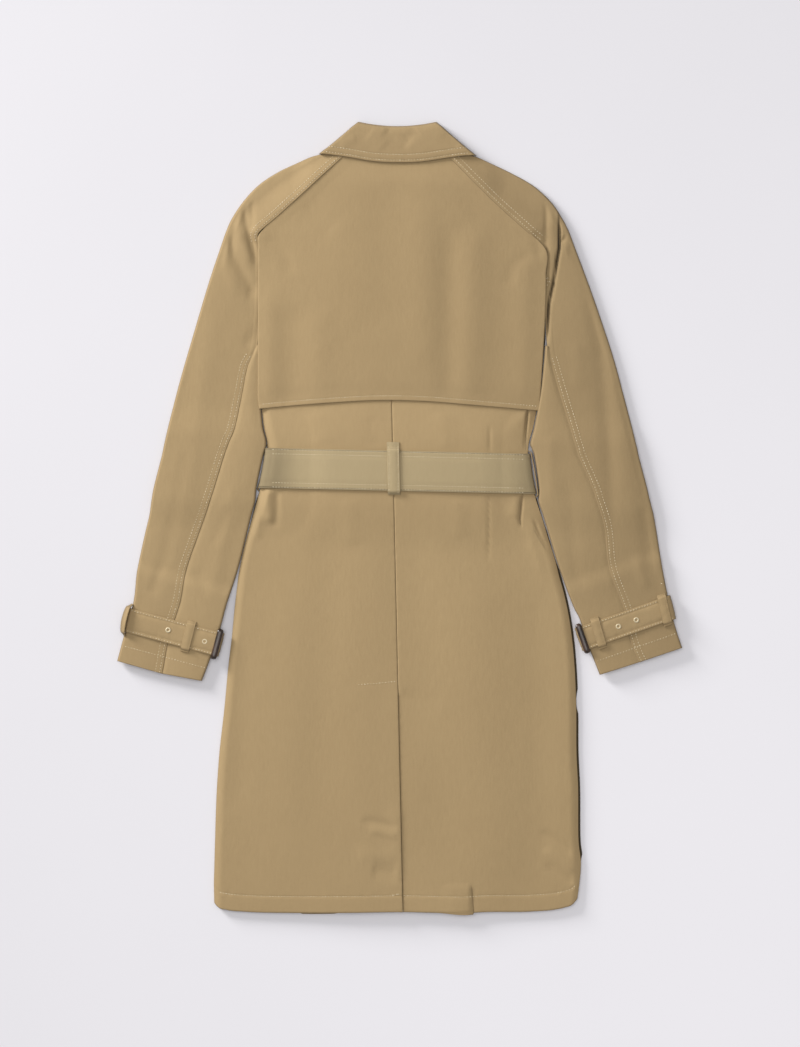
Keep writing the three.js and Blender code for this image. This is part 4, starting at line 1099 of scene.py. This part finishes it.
def cuff_buckle(side):
    """A horn frame: a broad rail over the strap, a thin bar inside its turn and a rounded end on each side."""
    place = cuff_place(side)
    width = cuff_axes(side)[2]
    rail = np.array([width + BUCKLE_REACH, STRAP_LEVEL + STRAP_CLOTH + 0.9])
    rod = np.array([width + BUCKLE_REACH - 0.4, STRAP_LEVEL / 2 + 1])
    half_long, half_high, corner = STRAP_HALF + 3.4, np.linalg.norm(rail - rod) / 2, 3.4
    down = (rod - rail) / np.linalg.norm(rod - rail)
    side_way = np.array([-down[1], down[0]])
    centre = (rail + rod) / 2
    # a rounded rectangle in the plane of the buckle: q across it and d down it
    outline = np.concatenate([
        arc((q * (half_long - corner), d * (half_high - corner)), (corner, corner), start, start - 90, 7)
        for q, d, start in ((1, 1, 90), (1, -1, 0), (-1, -1, -90), (-1, 1, 180))
    ])
    long_side = np.linspace(-half_long + corner, half_long - corner, 14)[1:-1]
    outline = np.concatenate([outline[:14], np.stack([long_side[::-1], np.full(12, -half_high)], axis=-1),
                              outline[14:], np.stack([long_side, np.full(12, half_high)], axis=-1)])
    rings = []
    for q, d in outline:
        upper = ease((d + half_high) / (2 * half_high))
        wide, tall = 1.7 + 2.6 * upper, 1.4 + 0.6 * upper
        out = np.array([q - np.clip(q, -half_long + corner, half_long - corner),
                        d - np.clip(d, -half_high + corner, half_high - corner)])
        out = out / (np.linalg.norm(out) + 1e-9)
        ring = []
        for angle in np.linspace(0, 2 * math.pi, 12, endpoint=False):
            in_plane, sideways = tall * math.cos(angle), wide * math.sin(angle)
            flat = centre - down * (d + out[1] * in_plane) + side_way * sideways
            ring.append(place(flat[0], q + out[0] * in_plane, flat[1]))
        rings.append(ring)
    rings = np.array(rings).reshape(len(outline), 12, 3)
    closed_sweep(f"cuff_buckle_{side}", rings, brown_horn)


for cuff_side in CUFFS:
    cuff_strap(cuff_side)
    cuff_buckle(cuff_side)
cuff_loop("left", "back", 86.5, 0.0)
cuff_loop("right", "back", 107.5, 0.04)
cuff_loop("right", "outer", 9.5, 0.02)
standing_loop()
for eyelet_side, eyelet_number, eyelet_place in [
    ("left", 1, (-323, -156)), ("left", 2, (-272, -172)), ("right", 1, (307, -151)), ("right", 2, (332, -142)),
]:
    eyelet(eyelet_side, eyelet_number, eyelet_place)

# ---------------------------------------------------------------------------
# Belt, its loops and its buckle
# ---------------------------------------------------------------------------
# One long strip of closer, paler cloth, stitched twice along both edges. It goes right round the coat through a
# loop on the centre back and one on each side seam, and is buckled under the front.
BELT_STITCHES = [2, 8]
BELT_LOOP_CLOTH = 1.5
LOOP_RAISED = 3.4

belt_cloth = cotton_twill("belt_cloth", (0.442, 0.350, 0.203), (0.389, 0.300, 0.168), pitch=0.65)


def shade_belt_ends(material):
    """Painted shade: deepens the belt's colour towards its ends, where it turns down round the sides."""
    nodes, links = material.node_tree.nodes, material.node_tree.links
    base = nodes["Principled BSDF"].inputs["Base Color"]
    before = base.links[0].from_socket
    where = nodes.new("ShaderNodeTexCoord")
    split = nodes.new("ShaderNodeSeparateXYZ")
    off_centre = nodes.new("ShaderNodeMath")
    off_centre.inputs[1].default_value = -0.01
    far = nodes.new("ShaderNodeMath")
    far.operation = "ABSOLUTE"
    end_shade = nodes.new("ShaderNodeMapRange")
    end_shade.interpolation_type = "SMOOTHSTEP"
    for socket, value in (("From Min", 0.140), ("From Max", 0.190), ("To Min", 1.0), ("To Max", 0.66)):
        end_shade.inputs[socket].default_value = value
    deeper = nodes.new("ShaderNodeVectorMath")
    deeper.operation = "SCALE"
    wire(links, (where, "Object", split, "Vector"), (split, "X", off_centre, 0), (off_centre, "Value", far, 0),
         (far, "Value", end_shade, "Value"), (end_shade, "Result", deeper, "Scale"))
    links.new(before, deeper.inputs[0])
    links.new(deeper.outputs["Vector"], base)


shade_belt_ends(belt_cloth)


def belt_level(x, y):
    """The belt's inner face as it crosses the back."""
    return back_form(x, y) + 0.75


def belt_line(v):
    """The belt's inner face at v above its middle, from its buckle round the right, over the back and home."""
    left = body_edge("left", BELT_Y + v - BELT_SLOPE * 190)
    right = body_edge("right", BELT_Y + v + BELT_SLOPE * 185)
    low, high = BELT_CLOTH + 0.15, BUCKLE_HEIGHT - CLEAR
    to_right = np.linspace(20.3, right - 3, 26)
    first = np.stack([to_right, low + (high - low) * plateau(to_right - 30, 84, 40)], axis=-1)
    over_x = np.linspace(right - 6, left + 6, 120)
    over = np.stack([over_x, belt_level(over_x, belt_middle(over_x) + v)], axis=-1)
    to_left = np.linspace(left + 3, -36, 26)
    last = np.stack([to_left, low + (3 + CLEAR + BELT_CLOTH - low) * ease((to_left + 88) / 44)], axis=-1)
    tip_x = np.linspace(8, 112, 16)
    tip = np.stack([tip_x, np.full(16, low)], axis=-1)

    def wrap(edge, sign, top, start, end):
        bottom = BELT_RISE - CLEAR
        angle = np.radians(np.linspace(start, end, 14))
        x = edge + sign * (0.5 + 0.9 * np.cos(angle))
        return np.stack([x, bottom + (top - bottom) * (1 + np.sin(angle)) / 2], axis=-1)

    at_right = wrap(right, 1, over[0, 1] - 0.6, -80, 62)
    at_left = wrap(left, -1, over[-1, 1] - 0.6, 62, -80)
    under_buckle = np.array([[-24, 3 + CLEAR + BELT_CLOTH], [0, low]])
    return np.concatenate([first, at_right, over, at_left, last, under_buckle, tip])


def belt_place(x, v, z):
    return grid(x, belt_middle(x) + v, z)


strip("belt", belt_line, strip_stations(BELT_WIDTH / 2, 2.6, 3.4), belt_place, BELT_CLOTH, -1, belt_cloth,
      strip_relief(BELT_WIDTH / 2, BELT_STITCHES, 0.3))


def back_belt_loop():
    half, reach = 8.8, BELT_WIDTH / 2 + 8.5

    def line_at(w):
        v = np.linspace(-reach + LOOP_RAISED, reach + LOOP_RAISED, 60)
        x = centre_back(belt_middle(0) + v) + 0.4
        ground = back_form(x, belt_middle(x) + v) + 0.35
        over = (BELT_CLOTH + 1.1) * plateau(v, BELT_WIDTH / 2 + 0.6, 3.2)
        return np.stack([v, ground + over + 0.5 * np.cos(v / reach * math.pi / 2)], axis=-1)

    def place(v, w, z):
        x = centre_back(belt_middle(0) + v) + 0.4 + w
        return grid(x, belt_middle(x) + v, z)

    near = np.array([0, 0.35, 0.9, 1.7, 2.6, 3.6])
    stations = np.concatenate([-half + near, [-2, 2], half - near[::-1]])
    strip("belt_loop_back", line_at, stations, place, BELT_LOOP_CLOTH, 1, belt_cloth, strip_relief(half, [2.2], 0.25))


def side_belt_loop(side, sign, off, low, high):
    """A loop at a side seam, seen on its edge as it stands round the belt."""
    reach = BELT_WIDTH / 2 + 4.5
    near = np.array([0, 0.8, 2, 3.4])
    v = np.concatenate([-reach + near, np.linspace(-reach + 5, reach - 5, 34), reach - near[::-1]])[:, None]
    z = np.linspace(low, high, 12)[None, :]
    edge = body_edge(side, belt_middle(sign * 187) + v)
    seated = ease((reach - np.abs(v)) / 3.5)
    round_over = -0.9 * np.clip((z - low) / (high - low), 0, 1) ** 3
    stand = 0.6 + (BELT_CLOTH + 0.9 + off * np.cos(v / reach * math.pi / 2) ** 0.8) * seated + round_over
    inner = grid(edge + sign * stand, belt_middle(edge) + v, z)
    outer = grid(edge + sign * (stand + BELT_LOOP_CLOTH), belt_middle(edge) + v, z)
    cloth_wall(f"belt_loop_{side}", outer, inner, gabardine)


back_belt_loop()
side_belt_loop("right", 1, 3.2, 1.6, 12.2)
side_belt_loop("left", -1, -0.6, 0.8, 4.2)

for horn_node in ["belt_buckle"] + [f"front_button_{number}" for number in range(1, 6)]:
    horn_object = bpy.data.objects[horn_node]
    horn_object.data.materials.clear()
    horn_object.data.materials.append(brown_horn)

# ---------------------------------------------------------------------------
# Collar
# ---------------------------------------------------------------------------
# A stand sewn to the neck, and a fall that folds down over it and goes round to both front edges. It is pressed
# flat with the coat, so its fold is a shallow hollow curve and its sides are turned under. Two rows of stitches
# follow its free edge.
COLLAR_STITCHES = [3.5, 11.5]
COLLAR_SHARES = [
    # share of the way from the fold to the edge: left side, right side, top
    (0, -57.5, 53, 8.6), (0.035, -59.5, 54.8, 11.0), (0.12, -65, 60, 12.9), (0.3, -75, 70, 14.4),
    (0.5, -86, 81, 15.2), (0.75, -99, 94.5, 15.8), (0.9, -107.5, 103, 15.9), (1, -112.5, 108.5, 15.7),
]
COLLAR_CREASES = [
    ([(-22, 543), (2, 531), (16, 522)], 9, -1.1),
    ([(26, 545), (8, 528)], 8, -0.8),
    ([(-42, 541), (-18, 520)], 11, 0.6),
    ([(-60, 535), (-82, 521)], 7, 0.6),
    ([(62, 538), (84, 520)], 7, -0.6),
]


def collar_edge_y(x):
    """The fall's free edge across the back."""
    return smooth_through([-113, -95, -70, -38, -1, 30, 65, 90, 109],
                          [510.5, 508.5, 505, 499.5, 497.5, 498.5, 503.5, 507, 508], x)


def collar_fold_y(x):
    return 549.5 + 6.5 * (np.clip(np.abs(x + 2) / 56, 0, 1)) ** 2


def collar_round(left, right, top, bottom, radius):
    """One line round the flattened collar, from its left front edge by way of the back to its right front edge,
    as (x, height, share of the way from the underside to the top)."""
    middle, high = (top + bottom) / 2, (top - bottom) / 2
    front_left = [(x, bottom, 0) for x in np.linspace(-6, left + radius, 12)]
    turn = np.radians(np.linspace(-90, 90, 14))[1:-1]
    left_turn = [(left + radius - radius * math.cos(a), middle + high * math.sin(a), (1 + math.sin(a)) / 2)
                 for a in turn]
    over = [(x, top, 1) for x in np.linspace(left + radius, right - radius, 84)]
    right_turn = [(right - radius + radius * math.cos(a), middle + high * math.sin(a), (1 + math.sin(a)) / 2)
                  for a in turn[::-1]]
    front_right = [(x, bottom, 0) for x in np.linspace(right - radius, 6, 12)]
    return np.array(front_left + left_turn + over + right_turn + front_right)


def inward(line, thickness):
    """A matching line a wall's thickness inside a line of (x, height)."""
    ahead = np.gradient(line[:, :2], axis=0)
    ahead /= np.linalg.norm(ahead, axis=1)[:, None]
    return line[:, :2] + np.stack([ahead[:, 1], -ahead[:, 0]], axis=-1) * thickness


def collar_fall():
    known = [row[0] for row in COLLAR_SHARES]
    near = 1 - np.array([0, 0.008, 0.02, 0.045, 0.065, 0.075, 0.085, 0.11, 0.15, 0.19, 0.215, 0.225, 0.235, 0.26])
    shares = np.unique(np.concatenate([[0, 0.01, 0.025, 0.05, 0.08, 0.12], np.linspace(0.16, 0.72, 14), near]))
    outer, inner = [], []
    for share in shares:
        left, right, top = (smooth_through(known, [row[k] for row in COLLAR_SHARES], share) for k in (1, 2, 3))
        line = collar_round(float(left), float(right), float(top), 0.1, 4.5)
        x, z, over = line[:, 0], line[:, 1], line[:, 2]
        point_y = 455 + (511 - 455) * np.clip(np.abs(x) / 108, 0, 1)
        edge = point_y + (collar_edge_y(x) - point_y) * ease(over * 1.6)
        fold = collar_fold_y(x)
        y = fold + (edge - fold) * share
        away = (1 - share) * 52
        relief = creases(COLLAR_CREASES, x, y) + 0.7 * handling(x, y) + rolled(away, 0.7, 1.3)
        relief = relief + sum(stitch_groove(away - stitch, 0.35) for stitch in COLLAR_STITCHES)
        relief = relief + pucker(away - COLLAR_STITCHES[0], x, 0.12)
        z_outer = z + np.where(over == 1, relief, 0)
        inside = inward(line, CLOTH)
        outer.append(grid(x, y, z_outer))
        inner.append(grid(inside[:, 0], y, inside[:, 1] + 0.3 * (over == 1)))
    cloth_wall("collar_fall", np.array(outer), np.array(inner), gabardine)


def collar_stand():
    outer, inner = [], []
    for share in np.linspace(0, 1, 8):
        y = 547 + (SHOULDER_Y + 0.5 - 547) * share
        left, right, top = -53 - 13 * share, 49 + 11 * share, 7.2 + 3.6 * share
        line = collar_round(left, right, top, CLOTH + 2 * CLEAR, 3)
        dip = 3 * (1 - share) * (line[:, 0] / 57) ** 2
        inside = inward(line, 1.4)
        outer.append(grid(line[:, 0], y + dip, line[:, 1]))
        inner.append(grid(inside[:, 0], y + dip, inside[:, 1]))
    cloth_wall("collar_stand", np.array(outer), np.array(inner), gabardine)


collar_fall()
collar_stand()

# ---------------------------------------------------------------------------
# Thread
# ---------------------------------------------------------------------------
# The coat is topstitched in a thick cream thread. Each stitch is a short rounded bar half sunk in the cloth, set
# along its seam by length, a little uneven in size; the rows follow the surface they were sewn on.
STITCH_PITCH = 4.1
STITCH_LONG = 2.1
STITCH_THICK = 0.85


# twisted polyester with a low shine
thread = flecked("thread", 260, ((0.56, 0.45, 0.27), 0.35), ((0.84, 0.75, 0.55), 0.65),
                 Roughness=0.6, Sheen_Weight=0.2)


def stitching_nodes():
    """Sets a stitch at every pitch along the edges of a mesh of seam lines."""
    group = bpy.data.node_groups.new("topstitching", "GeometryNodeTree")
    for label, kind, way in [
        ("Seams", "NodeSocketGeometry", "INPUT"), ("Pitch", "NodeSocketFloat", "INPUT"),
        ("Length", "NodeSocketFloat", "INPUT"), ("Thickness", "NodeSocketFloat", "INPUT"),
        ("Seed", "NodeSocketInt", "INPUT"), ("Stitches", "NodeSocketGeometry", "OUTPUT"),
    ]:
        group.interface.new_socket(label, in_out=way, socket_type=kind)
    nodes, links = group.nodes, group.links
    entry, leave = nodes.new("NodeGroupInput"), nodes.new("NodeGroupOutput")
    lines = nodes.new("GeometryNodeMeshToCurve")
    spaced = nodes.new("GeometryNodeCurveToPoints")
    spaced.mode = "LENGTH"
    bar = nodes.new("GeometryNodeMeshUVSphere")
    bar.inputs["Segments"].default_value = 6
    bar.inputs["Rings"].default_value = 5
    bar.inputs["Radius"].default_value = 0.5
    shape = nodes.new("ShaderNodeCombineXYZ")
    stretch = nodes.new("GeometryNodeTransform")
    uneven = nodes.new("FunctionNodeRandomValue")
    uneven.inputs[2].default_value = 0.82
    uneven.inputs[3].default_value = 1.12
    placed = nodes.new("GeometryNodeInstanceOnPoints")
    real = nodes.new("GeometryNodeRealizeInstances")
    paint = nodes.new("GeometryNodeSetMaterial")
    paint.inputs["Material"].default_value = thread
    wire(links, (entry, "Seams", lines, "Mesh"), (lines, "Curve", spaced, "Curve"),
         (entry, "Pitch", spaced, "Length"), (entry, "Thickness", shape, "X"), (entry, "Thickness", shape, "Y"),
         (entry, "Length", shape, "Z"), (bar, "Mesh", stretch, "Geometry"), (shape, "Vector", stretch, "Scale"),
         (entry, "Seed", uneven, "Seed"), (spaced, "Points", placed, "Points"),
         (stretch, "Geometry", placed, "Instance"), (spaced, "Rotation", placed, "Rotation"),
         (uneven, 1, placed, "Scale"), (placed, "Instances", real, "Geometry"),
         (real, "Geometry", paint, "Geometry"), (paint, "Geometry", leave, "Stitches"))
    return group


topstitching = stitching_nodes()


def surface_of(*names):
    """Looks down on finished pieces and gives their height at a point, or nothing."""
    verts, faces = [], []
    for name in names:
        piece = cloth_pieces[name].data
        faces += [tuple(v + len(verts) for v in face.vertices) for face in piece.polygons]
        verts += [v.co.copy() for v in piece.vertices]
    tree = BVHTree.FromPolygons(verts, faces)

    def height(x, y):
        hit = tree.ray_cast(Vector((x * MM, y * MM, 0.1)), Vector((0, 0, -1)))[0]
        return None if hit is None else hit.z / MM

    return height


def sew(name, rows, on, seed):
    """Sews rows of points, given in mm, on to the named pieces as one mesh of stitches."""
    height = surface_of(*on)
    verts, edges = [], []
    for row in rows:
        row = np.asarray(row, float)
        along = np.concatenate([[0], np.cumsum(np.linalg.norm(np.diff(row, axis=0), axis=1))])
        stops = np.arange(0, along[-1], 2.0)
        before = None
        for x, y in zip(np.interp(stops, along, row[:, 0]), np.interp(stops, along, row[:, 1])):
            z = height(x, y)
            if z is None:
                before = None
                continue
            verts.append((x * MM, y * MM, (z + 0.06) * MM))
            if before is not None:
                edges.append((before, len(verts) - 1))
            before = len(verts) - 1
    seams = bpy.data.meshes.new(name + "_seams")
    seams.from_pydata(verts, edges, [])
    maker = bpy.data.objects.new(name, seams)
    bpy.context.collection.objects.link(maker)
    stitcher = maker.modifiers.new("topstitching", "NODES")
    stitcher.node_group = topstitching
    sizes = {"Pitch": STITCH_PITCH * MM, "Length": STITCH_LONG * MM, "Thickness": STITCH_THICK * MM, "Seed": seed}
    for socket in topstitching.interface.items_tree:
        if socket.name in sizes:
            stitcher[socket.identifier] = sizes[socket.name]
    evaluated = maker.evaluated_get(bpy.context.evaluated_depsgraph_get())
    stitches = bpy.data.meshes.new_from_object(evaluated)
    maker.modifiers.clear()
    maker.data = stitches
    stitches.materials.clear()
    stitches.materials.append(thread)
    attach(maker, "root")


def beside(points, distance):
    """A line that runs at a distance to the left of a line of points."""
    points = np.asarray(points, float)
    ahead = np.gradient(points, axis=0)
    ahead /= np.linalg.norm(ahead, axis=1)[:, None]
    return points + distance * np.stack([-ahead[:, 1], ahead[:, 0]], axis=-1)


def row_across(start, end, y_at):
    x = np.linspace(start, end, 90)
    return np.stack([x, y_at(x)], axis=-1)


sew("hem_stitches", [row_across(start, end, lambda x: hem_y(x) + HEM_STITCH)
                     for start, end in ((-250, -8), (8, 101), (104, 246))], ["back_left", "back_right"], 11)
sew("vent_stitches", [[(-56, -232.5), (-30, -230.5), (-5, -228)]] +
    [[(-9 + 1.1 * turn, -527), (-2 + 1.1 * turn, -525.5)] for turn in range(3)], ["back_left"], 12)
sew("flap_stitches", [row_across(-190, 192, lambda x: yoke_hem_y(x) + YOKE_STITCH)], ["back_yoke"], 13)

for sleeve_side, sleeve_table, sleeve_sign in [("left", LEFT_SLEEVE, -1), ("right", RIGHT_SLEEVE, 1)]:
    seam_line = sleeve_rows(sleeve_table, (2, 3), 240)
    turning = next(i for i, point in enumerate(seam_line) if point[1] < 388)
    raglan = seam_line[6:turning]
    first = next(i for i, point in enumerate(seam_line) if point[1] < 225)
    arm_back = seam_line[first:]
    rows = ((raglan, 2.6), (raglan, 8.8), (arm_back, 2.4), (arm_back, 8.6))
    sew(f"sleeve_{sleeve_side}_stitches", [beside(seam, sleeve_sign * off) for seam, off in rows],
        [f"sleeve_{sleeve_side}_upper"], 14)
    cuff_place_at = cuff_place(sleeve_side)
    cuff_wide = cuff_axes(sleeve_side)[2]
    strap_rows = [cuff_place_at(np.linspace(2, cuff_wide - 3, 60), q, 0)[:, :2]
                  for q in (-STRAP_HALF + 2.6, STRAP_HALF - 2.6)]
    sew(f"strap_{sleeve_side}_stitches", strap_rows, [f"cuff_strap_{sleeve_side}"], 15)
    end_row = cuff_place_at(np.linspace(4, cuff_wide - 6, 60), 36.5, 0)[:, :2]
    sew(f"cuff_{sleeve_side}_stitches", [end_row], [f"sleeve_{sleeve_side}_upper", f"sleeve_{sleeve_side}_under"], 16)

sew("collar_stitches", [row_across(-101, 97, lambda x: collar_edge_y(x) + stitch) for stitch in COLLAR_STITCHES],
    ["collar_fall"], 17)
sew("belt_stitches", [row_across(start, end, lambda x: belt_middle(x) + v)
                      for v in (-26.2, -20.2, 20.2, 26.2) for start, end in ((-176, -17), (5, 174))], ["belt"], 18)
sew("belt_loop_stitches", [[(centre_back(66) + 0.4 + w, 36), (centre_back(66) + 0.4 + w, 102)] for w in (-6.4, 6.4)],
    ["belt_loop_back"], 19)
sew("tack_stitches", [[(205.5, 338), (209, 332.5), (207.5, 327)], [(208.5, 337), (211.5, 331)],
    [(367.5, -91), (372.5, -93)]], ["sleeve_right_upper"], 20)
